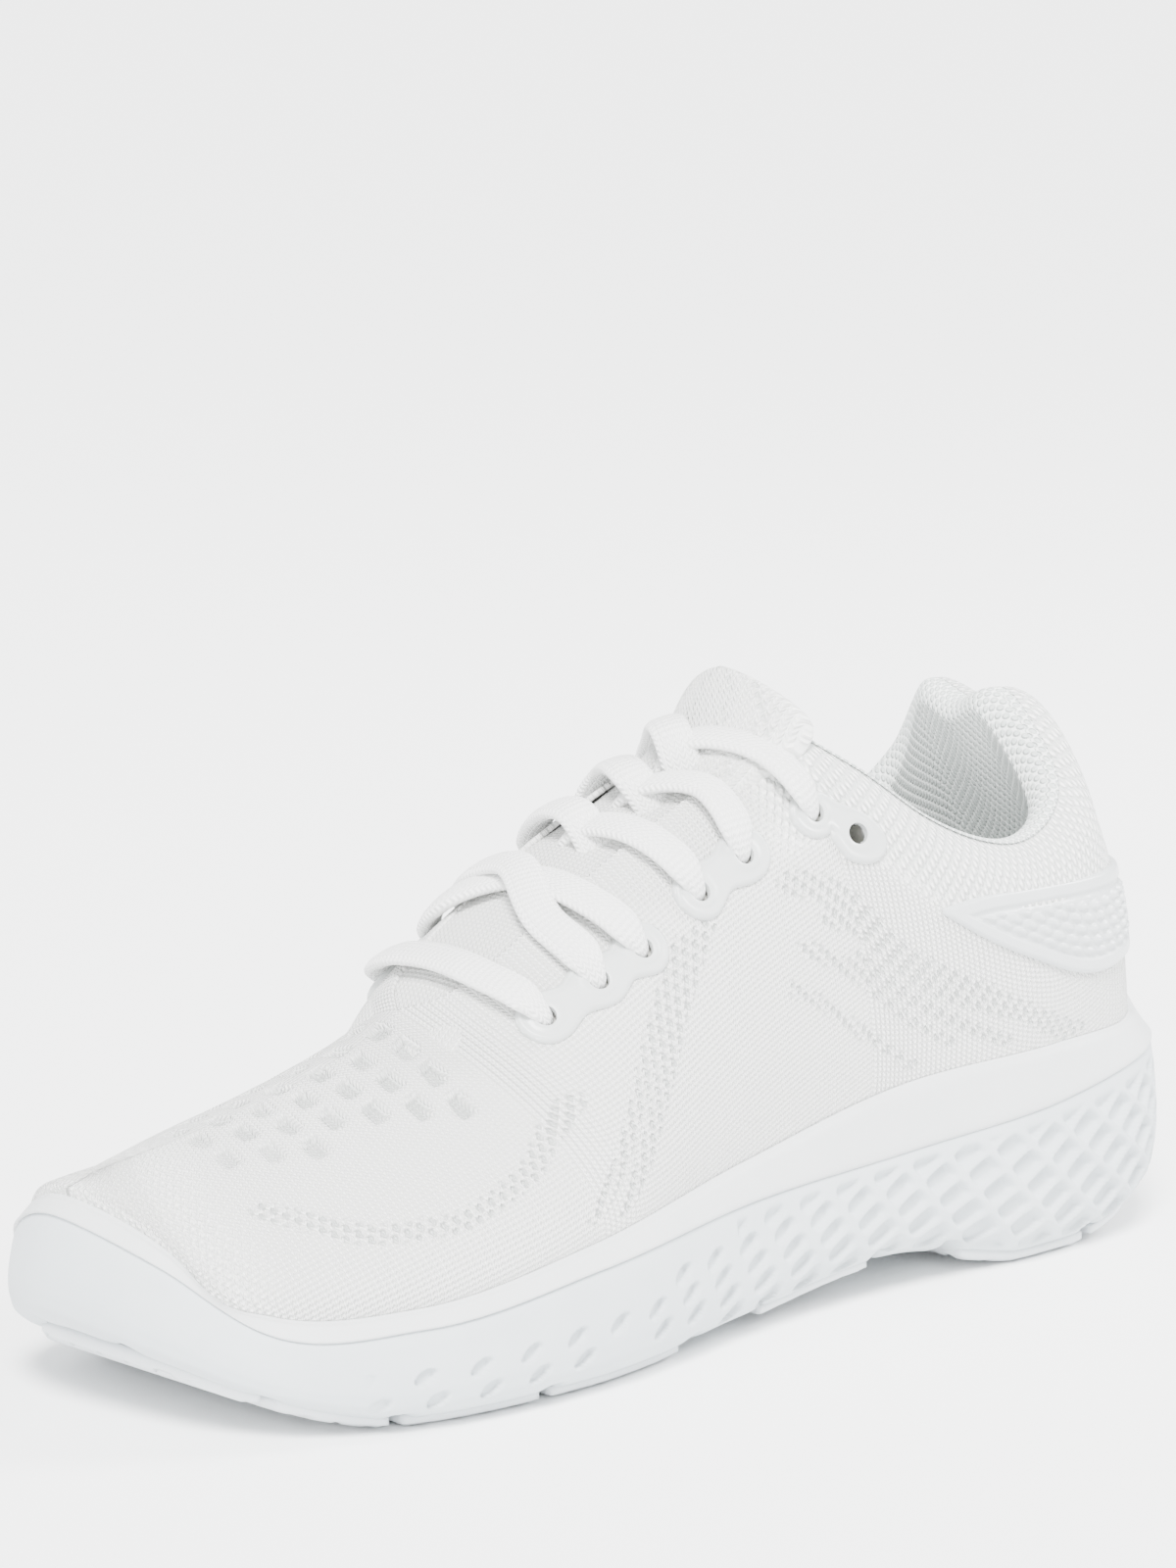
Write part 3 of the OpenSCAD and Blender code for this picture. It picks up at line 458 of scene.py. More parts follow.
def knit_material(name, warm=WARM, shade=SHADE):
    """Fine V-stitches, a coarse bubbled knit and open holes, mixed by the piece's own zones; painted shade
    darkens the colour between the threads, between the bubbles, in the holes and on the dimple floors.
    """
    n = Nodes(name)
    x, y, dent = n.attribute("cloth")
    coarse, holes, rough = n.attribute("zones")
    stitch = n.stitches(scaled(n, x, 1.45), scaled(n, y, 1.15))
    bubble = n.ramp(n.hexes(scaled(n, x, 2.3), scaled(n, y, 3.5)), 1.0, 0.0, 0.10, 0.42)
    pit = n.ramp(n.hexes(scaled(n, x, 3.0), scaled(n, y, 4.4)), 1.0, 0.0, 0.10, 0.34)
    fuzz = n.noise(900, 3)
    slub = n.noise(160, 2)
    plain = n.math("SUBTRACT", 1.0, n.math("MULTIPLY", coarse, 0.75))
    height = n.math("ADD", n.math("MULTIPLY", n.math("MULTIPLY", stitch, 0.58), plain),
                    n.math("MULTIPLY", n.math("MULTIPLY", bubble, 0.7), coarse))
    height = n.math("SUBTRACT", height, n.math("MULTIPLY", n.math("MULTIPLY", pit, holes), 0.9))
    height = n.math("ADD", height, n.math("MULTIPLY", fuzz, 0.12))
    height = n.math("ADD", height, n.math("MULTIPLY", n.math("MULTIPLY", slub, rough), 0.25))
    n.bump(height, 1.0)
    gap = n.math("MULTIPLY", n.math("SUBTRACT", 1.0, stitch), plain)
    # painted shade: the colour darkens in the pits of the open holes and in the hollows between the coarse
    # knit's bubbles
    dark = n.math("ADD", n.math("MULTIPLY", n.math("MULTIPLY", pit, holes), 0.85),
                  n.math("MULTIPLY", n.math("MULTIPLY", n.math("SUBTRACT", 1.0, bubble), coarse), 0.85))
    # painted shade: the colour darkens in the gaps between the stitch threads
    dark = n.math("ADD", dark, n.math("MULTIPLY", gap, 0.48))
    # painted shade: the colour darkens on the vamp's dimple floors by their depth, broken up by a slow noise
    dark = n.math("ADD", dark, n.math("MULTIPLY", n.math("MULTIPLY", dent, slub), 1.3))
    color = n.mix_color(n.math("MINIMUM", dark, 1.0), warm, shade)
    return n.finish(color, n.ramp(fuzz, 0.8, 0.95), **{"Sheen Weight": 0.15, "Sheen Roughness": 0.5})


def mesh_material(name, color_a, color_b, pitch):
    """Spacer mesh: staggered open cells between threads, with painted shade darkening the colour inside each
    cell.
    """
    n = Nodes(name)
    x, y, _ = n.attribute("cloth")
    cell = n.hexes(scaled(n, x, pitch), scaled(n, y, pitch * 1.5))
    hole = n.ramp(cell, 1.0, 0.0, 0.16, 0.36)
    fuzz = n.noise(1200, 2)
    n.bump(n.math("SUBTRACT", n.math("MULTIPLY", fuzz, 0.1), n.math("MULTIPLY", hole, 0.6)), 0.9)
    # painted shade: the colour darkens towards the second colour inside the open cells
    return n.finish(n.mix_color(n.math("MULTIPLY", hole, 0.9), color_a, color_b), n.ramp(fuzz, 0.75, 0.95),
                    **{"Sheen Weight": 0.2})


def foam_material(name, color, dark, grain_mm, rough=0.5):
    """Moulded foam: a fine pebble over a slow unevenness."""
    n = Nodes(name)
    pebble = n.cells(750)
    slow = n.noise(60, 3)
    fine = n.noise(1500, 2)
    height = n.math("ADD", n.math("MULTIPLY", pebble, grain_mm), n.math("MULTIPLY", fine, grain_mm * 0.5))
    n.bump(height, 0.6)
    return n.finish(n.mix_color(n.ramp(slow, 0.0, 1.0, 0.3, 0.8), color, dark),
                    n.ramp(pebble, rough, rough + 0.12), **{"Specular IOR Level": 0.4})


def film_material(name, color, dark):
    """Smooth moulded film with a soft gloss and a slightly uneven surface."""
    n = Nodes(name)
    slow = n.noise(90, 3)
    fine = n.noise(700, 2)
    n.bump(n.math("ADD", n.math("MULTIPLY", slow, 0.10), n.math("MULTIPLY", fine, 0.02)), 0.5)
    return n.finish(n.mix_color(slow, color, dark), n.ramp(fine, 0.28, 0.42),
                    **{"Coat Weight": 0.25, "Coat Roughness": 0.25})


def lace_material():
    """Flat tubular braid: chevrons of threads along the lace, with painted shade darkening the colour between
    the threads.
    """
    n = Nodes("lace_braid")
    x, y, _ = n.attribute("cloth")
    thread = n.stitches(scaled(n, y, 1.5), scaled(n, x, 1.3))
    fuzz = n.noise(1000, 3)
    n.bump(n.math("ADD", n.math("MULTIPLY", thread, 0.4), n.math("MULTIPLY", fuzz, 0.12)), 0.9)
    # painted shade: the colour darkens towards the grey between the threads
    return n.finish(n.mix_color(n.ramp(thread, 0.3, 0.0), (.93, .93, .92), (.70, .71, .71)),
                    n.ramp(fuzz, 0.8, 0.95), **{"Sheen Weight": 0.3, "Sheen Roughness": 0.5})


def plain_cloth(name, color, dark, scale):
    n = Nodes(name)
    weave = n.cells(scale)
    slow = n.noise(120, 3)
    n.bump(n.math("MULTIPLY", weave, 0.2), 0.7)
    return n.finish(n.mix_color(n.math("MULTIPLY", weave, slow), color, dark), n.ramp(slow, 0.75, 0.95),
                    **{"Sheen Weight": 0.15})


KNIT = knit_material("knit")
TONGUE_KNIT = knit_material("tongue_knit")
# the second colour of SPACER and SOCK is the painted shade inside the open cells
SPACER = mesh_material("spacer_mesh", (.83, .86, .84), (.55, .60, .58), 1.9)
SOCK = mesh_material("insole_mesh", (.78, .80, .79), (.55, .58, .57), 1.6)
SMOOTH_LINING = plain_cloth("smooth_lining", (.84, .86, .85), (.70, .72, .71), 900)
FOAM = foam_material("midsole_foam", (.56, .60, .62), (.53, .57, .595), 0.05)
RIM = foam_material("rim_foam", (.62, .635, .64), (.595, .615, .62), 0.09)
RUBBER = foam_material("outsole_rubber", (.66, .69, .71), (.62, .65, .68), 0.05, 0.4)
FILM = film_material("eyestay_film", (.57, .59, .585), (.53, .55, .545))
CLIP = film_material("clip_film", (.58, .605, .61), (.54, .565, .575))
LACE = lace_material()
AGLET = film_material("aglet_film", (.86, .87, .87), (.80, .81, .82))
BOARD = plain_cloth("board_fleece", (.82, .81, .77), (.68, .67, .63), 700)
FOAM_PAD = plain_cloth("open_foam", (.84, .82, .75), (.70, .68, .60), 500)
STIFF = foam_material("stiffener_sheet", (.74, .74, .72), (.66, .66, .64), 0.05)


# ---------------------------------------------------------------- camera, light and stage
def camera():
    """Azimuth, elevation and distance are round values; the lens is long, as in a product picture."""
    azimuth, elevation, distance = math.radians(138), math.radians(12.5), 1.1
    target = Vector((SHIFT[0] * MM, SHIFT[1] * MM, 0.05))
    back = Vector((math.sin(azimuth) * math.cos(elevation), -math.cos(azimuth) * math.cos(elevation),
                   math.sin(elevation)))
    data = bpy.data.cameras.new("camera")
    data.sensor_width = 36
    data.lens = 119.5
    data.shift_x = -0.0148
    data.shift_y = 0.1836
    data.clip_end = 20
    obj = bpy.data.objects.new("camera", data)
    obj.location = target + back * distance
    obj.rotation_euler = back.to_track_quat("Z", "Y").to_euler()
    bpy.context.scene.collection.objects.link(obj)
    bpy.context.scene.camera = obj


def area_light(name, place, size, power, color=(1, 1, 1)):
    data = bpy.data.lights.new(name, "AREA")
    data.shape = "DISK"
    data.size = size
    data.energy = power
    data.color = color
    obj = bpy.data.objects.new(name, data)
    obj.location = place
    obj.rotation_euler = (Vector(place) - Vector((0, 0, 0.05))).to_track_quat("Z", "Y").to_euler()
    bpy.context.scene.collection.objects.link(obj)


def studio():
    world = bpy.data.worlds.new("studio")
    world.use_nodes = True
    sky = world.node_tree.nodes["Background"]
    sky.inputs["Color"].default_value = (0.96, 0.98, 1.0, 1)
    sky.inputs["Strength"].default_value = 1.95
    bpy.context.scene.world = world
    key = bpy.data.lights.new("key", "SUN")
    key.energy = 11
    key.angle = math.radians(20)
    key.color = (1.0, 0.99, 0.975)
    key_object = bpy.data.objects.new("key", key)
    key_object.rotation_euler = Vector((0.75, 0.75, 1.35)).to_track_quat("Z", "Y").to_euler()
    bpy.context.scene.collection.objects.link(key_object)
    area_light("front", (1.5, 1.0, 0.5), 0.8, 18)
    area_light("back", (-1.3, 0.6, 1.0), 0.6, 44)
    mesh = bpy.data.meshes.new("floor")
    half = 30.0
    corners = [(-half, -half, 0), (half, -half, 0), (half, half, 0), (-half, half, 0)]
    mesh.from_pydata(corners, [], [(0, 1, 2, 3)])
    floor = bpy.data.objects.new("floor", mesh)
    bpy.context.scene.collection.objects.link(floor)
    n = Nodes("floor_paper")
    grain = n.noise(40, 3)
    paper = n.mix_color(grain, (.97, .97, .97), (.94, .95, .95))
    mesh.materials.append(n.finish(paper, n.ramp(grain, 0.9, 1.0)))


camera()
studio()


# ---------------------------------------------------------------- ribbons
def resample(points, step):
    """A smooth line through points, with a point about every step."""
    points = np.asarray(points, float)
    chord = run_length(points)
    fine = curve(chord, points, np.linspace(0, chord[-1], 40 * len(points)))
    s = run_length(fine)
    count = max(int(s[-1] / step), 8)
    return np.stack([np.interp(np.linspace(0, s[-1], count + 1), s, fine[:, k]) for k in range(3)], 1)


def carried(tangents, start, side):
    """Carries the direction side, given at index start, along the line without twist."""
    out = np.zeros_like(tangents)
    out[start] = unit(side - tangents[start] * (side @ tangents[start]))
    for i in range(start + 1, len(tangents)):
        out[i] = unit(out[i - 1] - tangents[i] * (out[i - 1] @ tangents[i]))
    for i in range(start - 1, -1, -1):
        out[i] = unit(out[i + 1] - tangents[i] * (out[i + 1] @ tangents[i]))
    return out


def ribbon_loops(points, up, width, thick, around=18, middle=None):
    """Flat oval sections along points: up is the flat side's direction at the middle of the line."""
    tangent = unit(np.gradient(points, axis=0))
    start = len(points) // 2 if middle is None else middle
    normal = carried(tangent, start, np.asarray(up, float))
    across = np.cross(tangent, normal)
    angle = np.linspace(0, 2 * np.pi, around, endpoint=False)
    c = np.sign(np.cos(angle)) * np.abs(np.cos(angle))**0.8
    d = np.sign(np.sin(angle)) * np.abs(np.sin(angle))**0.9
    width = np.broadcast_to(width, len(points))
    thick = np.broadcast_to(thick, len(points))
    loops = (points[:, None] + across[:, None] * (c[None, :, None] * width[:, None, None] / 2)
             + normal[:, None] * (d[None, :, None] * thick[:, None, None] / 2))
    s = run_length(points)
    cloth = np.stack([np.broadcast_to(s[:, None], loops.shape[:2]),
                      np.broadcast_to(c[None] * width[:, None] / 2, loops.shape[:2]),
                      np.zeros(loops.shape[:2])], -1)
    return loops, cloth


def lace_end(name, route, node, aglet_node, outward_y):
    """A free end of the lace, relaxed to a thick oval, with its aglet."""
    points = resample(route, 1.5)
    loops, cloth = ribbon_loops(points, (0, outward_y, 0.1), END_W, END_T, middle=2)
    obj = loop_solid(name, loops, LACE, "shoe", (node,), {"cloth": cloth})
    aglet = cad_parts[aglet_node]
    length = float(run_length(points)[-1]) * MM
    aglet.data.materials.clear()
    aglet.data.materials.append(AGLET)


lace_end("lace_end_lateral_braid", END_LATERAL, "lace_end_lateral", "aglet_lateral", 1)
lace_end("lace_end_medial_braid", END_MEDIAL, "lace_end_medial", "aglet_medial", -1)


# ---------------------------------------------------------------- upper
def arc_band(p, v, knots, half):
    """How far inside a band along a chain of (p, v) knots each point is, 1 in the band to 0 outside."""
    best = np.full(p.shape, 9.0)
    for (p0, v0), (p1, v1) in zip(knots[:-1], knots[1:]):
        ax, ay = (p1 - p0) * 290, (v1 - v0) * 90
        bx, by = (p - p0) * 290, (v - v0) * 90
        t = np.clip((ax * bx + ay * by) / (ax * ax + ay * ay), 0, 1)
        best = np.minimum(best, np.hypot(bx - t * ax, by - t * ay) / half)
    return 1 - smooth_step(0.7, 1.15, best)


HOLE_BANDS = [
    ([(.84, .54), (.79, .36), (.73, .30), (.67, .34), (.61, .46)], 3.2),
    ([(.48, .62), (.52, .48), (.56, .32), (.62, .08)], 2.6),
    ([(.50, .62), (.545, .46), (.59, .30), (.645, .10)], 2.2),
    ([(.42, .60), (.36, .44), (.29, .32), (.20, .05)], 3.0),
    ([(.40, .48), (.33, .32), (.25, .18), (.21, .02)], 2.6),
    ([(.385, .36), (.32, .22), (.27, .08)], 2.2),
    ([(.425, .44), (.375, .28), (.315, .12)], 1.7),
    ([(.44, .36), (.395, .20), (.345, .06)], 1.4),
]


def upper_zones(p, v, top_distance):
    """Weights of the coarse knit, the open holes and the rough knit."""
    collar = (1 - smooth_step(19, 27, top_distance)) * (1 - smooth_step(.40, .43, p))
    holes = np.zeros_like(p)
    for knots, half in HOLE_BANDS:
        holes = np.maximum(holes, arc_band(p, v, knots, half))
    toe = smooth_step(.84, .90, p)
    coarse = np.maximum(collar, toe * 0.45)
    return np.stack([coarse, holes * (1 - collar), np.maximum(toe, holes)], -1)


DIMPLE = 1.9


def dimples(q):
    """Rows of rounded-square dimples over the vamp, as a depth in millimetres from plan positions."""
    x, y = q[..., 0], q[..., 1] - 0.5
    pitch_x, pitch_y = 7.6, 8.6
    row = np.round((x - 64) / pitch_x)
    shifted = y - (row % 2) * pitch_y / 2
    dx = np.abs(x - 64 - row * pitch_x)
    dy = np.abs(shifted - np.round(shifted / pitch_y) * pitch_y)
    box = (dx / 1.9)**4 + (dy / 2.9)**4
    centre_y = np.round(shifted / pitch_y) * pitch_y + (row % 2) * pitch_y / 2
    reach = 26 - (row * pitch_x) * 0.2
    inside = (np.abs(centre_y) < reach) & (row >= 0) & (row <= 6)
    size = 1 - 0.45 * smooth_step(2, 7, row)
    return np.where(inside, DIMPLE * size * (1 - smooth_step(0.25, 1.3, box)), 0)


def upper():
    p = np.linspace(0, 1, 300)
    v = np.linspace(0, 1, 82)
    grids = {}
    for s in (LATERAL, MEDIAL):
        pp, vv = np.meshgrid(p, v, indexing="ij")
        base = upper_point(s, pp, vv)
        grids[s] = [pp, vv, base, upper_normal(s, pp, vv)]
    seam = np.zeros((len(p), len(v)), bool)
    seam[0] = seam[-1] = True
    seam[p >= THROAT_END, -1] = True
    shared = unit(grids[LATERAL][3] + grids[MEDIAL][3])
    outer, inner, cloth, zones, keep = [], [], [], [], []
    for s in (MEDIAL, LATERAL):
        pp, vv, base, normal = grids[s]
        normal = np.where(seam[..., None], shared, normal)
        up = run_length(base, 1)
        along = run_length(base[:, 30:31], 0)
        top_distance = up[:, -1:] - up
        puff = 1.6 * np.exp(-((top_distance - 9) / 7.5)**2) * (1 - smooth_step(.36, .40, pp))
        fade = np.minimum(1, np.minimum(up, top_distance + 3 * (pp > .6)) / 3)
        wave = 0.12 * np.sin(along / 9) * np.sin(up / 7) * fade
        dent = dimples(base)
        height = np.where(seam, puff, puff * fade + wave) - dent
        skin = base + normal * height[..., None]
        under = base - normal * (1.2 + dent)[..., None]
        if s == MEDIAL:
            seam_points = skin[seam].copy(), under[seam].copy()
        else:
            skin[seam], under[seam] = seam_points
        holes = np.ones((len(p) - 1, len(v) - 1), bool)
        middle = (base[:-1, :-1] + base[1:, 1:]) / 2
        for e in EYELETS:
            holes &= np.linalg.norm(middle - upper_point(s, *e), axis=-1) > 2.9
        # the third channel carries the dimple depth, which the knit shader turns into painted shade on the
        # dimple floors
        cells = np.stack([np.broadcast_to(along, pp.shape), top_distance, dent / DIMPLE], -1)
        zone = upper_zones(pp, vv, top_distance)
        order = slice(None, None, -1) if s == MEDIAL else slice(None)
        outer.append(skin[order])
        inner.append(under[order])
        cloth.append(cells[order])
        zones.append(zone[order])
        keep.append(holes[order])
    join = [np.concatenate([a[0], a[1][1:]]) for a in (outer, inner, cloth, zones)]
    kept = np.concatenate(keep)
    closed_sheet("upper_knit_skin", join[0], join[1], KNIT, "shoe", kept, turned=True,
                 replaces=("upper_knit",), attributes={"cloth": join[2], "zones": join[3]}, weld=True)


upper()


# ---------------------------------------------------------------- collar
def collar():
    """The padded roll over the collar's edge and the spacer mesh down to the insole."""
    reach = .375
    p = np.linspace(0, reach, 120)
    w = np.concatenate([np.linspace(0, .22, 14)[:-1], np.linspace(.22, 1, 60)])
    sides = []
    for s in (MEDIAL, LATERAL):
        pp, ww = np.meshgrid(p, w, indexing="ij")
        n = outward(s, pp)
        out = np.concatenate([n, np.zeros_like(n[..., :1])], -1)
        head = top_point(s, pp)
        rise = unit(-mirrored(s, curve(P_HANDLE, FALL, pp)))
        roll_end = head - out * 6.5 + np.array([0, 0, -4.5])
        back = curve(P_COLLAR, COLLAR_BACK, pp)[..., None]
        foot = inset_point(s, pp, curve(P, LINING_IN, pp), z_floor(pp) + 7)
        t = np.clip(ww / .22, 0, 1)
        roll = bezier(head, head + rise * 3.0, roll_end + np.array([0, 0, 4.0]), roll_end, t)
        t = np.clip((ww - .22) / .78, 0, 1)
        wall = bezier(roll_end, roll_end + out * back * 0.8 + np.array([0, 0, -18]),
                      foot + np.array([0, 0, 22]), foot, t)
        skin = np.where((ww < .22)[..., None], roll, wall)
        along = run_length(skin[:, 30:31], 0) * s
        down = run_length(skin, 1)
        cloth = np.stack([np.broadcast_to(along, pp.shape), -down, np.zeros_like(pp)], -1)
        order = slice(None, None, -1) if s == MEDIAL else slice(None)
        sides.append([skin[order], (skin + out * 0.8)[order], cloth[order]])
    skin, back_skin, cloth = [np.concatenate([a, b[1:]]) for a, b in zip(*sides)]
    closed_sheet("collar_spacer_mesh", skin, back_skin, SPACER, "shoe", replaces=("collar_lining",),
                 attributes={"cloth": cloth}, turned=False)


collar()


# ---------------------------------------------------------------- tongue
def tongue_point(t, w, depth, half):
    """A point at depth below the tongue's outer face, w of the way to its edge."""
    axis = list(range(len(TONGUE)))
    c = curve(axis, TONGUE, t)
    d = unit(curve(axis, TONGUE, t + .02) - curve(axis, TONGUE, t - .02))
    y = w * half
    h = curve(axis, TONGUE_FULLNESS, t) - depth - y * y / (2 * curve(axis, TONGUE_ARCH, t))
    return np.stack([c[..., 0] + d[..., 1] * h, y, c[..., 1] - d[..., 0] * h], -1)


def tongue():
    """A padded tongue: knit outside, rounded at its top, thicker where it is filled."""
    t = np.concatenate([np.linspace(0.05, 6.5, 80), np.linspace(6.5, 8.12, 40)[1:]])
    angle = np.linspace(0, 2 * np.pi, 96, endpoint=False)
    tt, aa = np.meshgrid(t, angle, indexing="ij")
    axis = [0, 1, 2, 3, 4, 5, 6, 7, 7.6, 8.12]
    half = curve(axis, [17, 17, 17, 17, 17, 17, 17, 18, 21, 21], tt)
    tip = np.sqrt(np.clip(1 - (np.maximum(tt - 6.9, 0) / 1.23)**2.6, 0.0, 1))
    half = half * np.clip(tip, .03, 1)
    full = curve(axis, [4, 6, 7.5, 8.5, 9.5, 10.5, 11, 11.5, 11, 10], tt) * np.clip(tip, .03, 1)
    w = np.sign(np.cos(aa)) * np.abs(np.cos(aa))**0.75
    lift = np.sin(aa)
    depth = full * (0.5 - 0.5 * np.sign(lift) * np.abs(lift)**0.6)
    crown = 0.8 * np.exp(-(w * 1.6)**2) * (tt > 5.5)
    loops = tongue_point(tt, w, depth - crown, half)
    s = run_length(loops[:, 24:25], 0)
    cloth = np.stack([w * half, np.broadcast_to(s, tt.shape), np.zeros_like(tt)], -1)
    rib = smooth_step(5.2, 6.2, tt)
    # the second zone sets bands of pits that the knit shader darkens with painted shade
    zones = np.stack([rib * 0.2, 0.4 * rib * (np.abs(np.sin(w * 6.5)) > .8), rib], -1)
    obj = loop_solid("tongue_padded", loops, TONGUE_KNIT, "tongue",
                     ("tongue_shell", "tongue_foam", "tongue_lining"), {"cloth": cloth, "zones": zones})
    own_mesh(obj)


tongue()


# ---------------------------------------------------------------- sole
SOLE_STEPS = 1360


def around(fn, steps=SOLE_STEPS):
    """Values of fn(side, p) once round the shoe, from the toe tip by the medial side to the heel and back."""
    p = np.linspace(0, 1, steps // 2 + 1)
    medial = fn(MEDIAL, p[::-1])
    lateral = fn(LATERAL, p)
    return np.concatenate([medial, lateral[1:-1]])


def cell_depth(p, run, t, wall):
    """Depth of the lower wall's lattice of recesses: p and run (mm from the heel) along, t and wall up."""
    pitch = 12.4
    phase = run / pitch + 0.10 * np.sin(run / 35)
    lean = curve([0, 60, 120, 180, 330], [0.0, .25, .6, .8, .5], run)
    row_pitch = curve([0, 90, 160, 220, 330], [4.4, 4.4, 4.3, 4.8, 5.2], run)
    height = (t - 0.53) * wall
    u = phase + lean * height / pitch
    j = height / row_pitch
    best = np.full(run.shape, 9.0)
    size = curve([0, 90, 140, 180, 220, 290], [.80, .80, .70, .52, .42, .34], run)
    for odd in (0, 1):
        row = np.round((j - odd) / 2) * 2 + odd
        column = np.round(u - odd * .5) + odd * .5
        du = np.abs(u - column) / (.5 * size)
        dj = np.abs(j - row) / (1.0 * size)
        power = curve([0, 120, 200, 330], [1.2, 1.3, 1.9, 2.0], run)
        d = du**power + dj**power
        lowest = -curve([0, 100, 170, 200, 260, 330], [4.4, 4.4, 3.4, 1.4, 1.2, .6], run)
        highest = curve([0, 60, 120, 170, 200, 250, 330], [4.4, 4.4, 3.4, 2.4, 1.2, .6, 0.3], run)
        allowed = (row >= lowest) & (row <= highest)
        best = np.where(allowed & (d < best), d, best)
    ends = (1 - smooth_step(.80, .825, p)) * smooth_step(.03, .14, t) * (1 - smooth_step(.82, .94, t))
    depth = curve([0, 100, 200, 330], [2.0, 2.0, 1.5, 1.3], run)
    return depth * (1 - smooth_step(0.60, 1.0, best)) * ends


def midsole():
    rows = np.concatenate([np.linspace(0, .12, 8)[:-1], np.linspace(.12, 1, 50)])

    def wall(s, p):
        pp, tt = np.meshgrid(p, rows, indexing="ij")
        low = z_ground(pp) + 1.6
        high = z_crease(pp)
        inset = curve([0, .06, .16, .34, .52, .76, .93, 1], [9, 5.2, 2.0, .3, 0, .6, 1.4, 2.0], tt)
        run = run_length(outline(s, np.linspace(0, 1, 2001)))
        along = np.interp(pp, np.linspace(0, 1, 2001), run)
        depth = cell_depth(pp, along, tt, high - low)
        notch = np.zeros_like(pp)
        for gap_p in (.18, .31, .375, .485, .555, .685, .795, .88, .965):
            width = .006
            fade = 1 - smooth_step(.05, .16, tt)
            notch = np.maximum(notch, 1.4 * np.exp(-((pp - gap_p) / width)**2) * fade)
        z = low + (high - low) * tt + notch * 1.2
        return inset_point(s, pp, inset + depth + notch, z)

    shell = around(wall)
    ledge = around(lambda s, p: inset_point(s, p, 5.4, z_crease(p)))[:, None]
    floor = around(lambda s, p: inset_point(s, p, 7.2, z_floor(p)))[:, None]
    loops = np.concatenate([shell, ledge, floor], 1).transpose(1, 0, 2)
    sole_solid("midsole_carrier", loops, FOAM, ("midsole_base",))


def sole_solid(name, loops, material, replaces=()):
    """Skin over loops round the shoe, closed above and below by ladders of quads across it."""
    m, n = loops.shape[:2]
    faces = grid_faces(m, n, 0, wrap_v=True).tolist()
    for k in range(1, n // 2 - 1):
        faces.append([k, n - k, n - k - 1, k + 1])
        top = (m - 1) * n
        faces.append([top + k + 1, top + n - k - 1, top + n - k, top + k])
    for a, b, c in ((0, n - 1, 1), (n // 2, n // 2 - 1, n // 2 + 1)):
        faces.append([a, b, c])
        faces.append([(m - 1) * n + c, (m - 1) * n + b, (m - 1) * n + a])
    obj = piece(name, loops.reshape(-1, 3), faces, material, "shoe", replaces)
    face_outward(obj)
    return obj


def rim():
    """The smooth sidewall band: a crease below, a rounded lip at the bite, a tab up the heel."""
    def loop(offset_in, mix, dz):
        return around(lambda s, p: inset_point(
            s, p, offset_in + (bite_in(p) - 1 - offset_in) * mix,
            z_crease(p) + (z_bite(p) - z_crease(p)) * mix + dz(p)))

    def none(p):
        return 0 * p

    lip = .86
    profile = [(1.9, 0.0, 0.05), (1.35, .03, .15), (1.0, .10, .2), (.8, .3, 0), (.7, .5, 0), (.6, .7, 0),
               (.4, lip, 0)]
    loops = [loop(a, b, lambda p, c=c: none(p) + c) for a, b, c in profile]
    for back, drop in ((.75, .5), (.6, .15), (.35, -.1), (0, -.15), (-.5, .2)):
        loops.append(around(lambda s, p, back=back, drop=drop: inset_point(
            s, p, bite_in(p) - back, z_bite(p) - drop * np.minimum(1, (z_bite(p) - z_crease(p)) / 6))))
    loops.append(around(lambda s, p: inset_point(s, p, np.minimum(bite_in(p), 6) - .2, z_crease(p) + .2)))
    loops = np.array(loops)
    m, n = loops.shape[:2]
    fine = []
    for a, b in zip(loops[:-1], loops[1:]):
        for t in (0, .5):
            fine.append(a + (b - a) * t)
    fine.append(loops[-1])
    loops = np.array(fine)
    m = len(loops)
    faces = grid_faces(m, n, 0, wrap_u=True, wrap_v=True).tolist()
    obj = piece("rim_band", loops.reshape(-1, 3), faces, RIM, "shoe", ("midsole_rim",))
    face_outward(obj)


def outsole_pad(name, first, last):
    """A rubber pad with a rounded edge and rows of flex grooves on its underside."""
    across = np.linspace(-1, 1, 61)
    along = np.linspace(0, 1, 41)
    a, w = np.meshgrid(along, across, indexing="ij")
    p = first + (last - first) * a
    left = inset_point(LATERAL, p, 6.5, z_ground(p))
    right = inset_point(MEDIAL, p, 6.5, z_ground(p))
    mid = (w[..., None] + 1) / 2
    bottom = right + (left - right) * mid
    edge = np.minimum(np.minimum(a, 1 - a) * 14, (1 - np.abs(w)) * 14)
    round_up = 1.2 * (1 - smooth_step(0, .8, edge))
    y = bottom[..., 1]
    x = bottom[..., 0]
    zig = np.abs(((x + 2.2 * np.abs(((y / 9) % 1) - .5) * 4) / 7.5 % 1) - .5)
    groove = 1.3 * (1 - smooth_step(.06, .14, zig)) * smooth_step(.4, 1.0, edge)
    bottom = bottom + np.array([0, 0, 1]) * (round_up + groove)[..., None]
    top = right + (left - right) * mid + np.array([0, 0, 3.0])
    closed_sheet(name + "_tread", bottom, top, RUBBER, "shoe",
                 replaces=(name,), turned=True)


def outsole():
    pads = {"outsole_toe": (.885, .965), "outsole_forefoot_front": (.80, .875),
            "outsole_forefoot_middle": (.69, .79), "outsole_forefoot_rear": (.56, .68),
            "outsole_midfoot": (.38, .48), "outsole_heel_front": (.185, .30),
            "outsole_heel_back": (.05, .175)}
    for name, (first, last) in pads.items():
        outsole_pad(name, first, last)


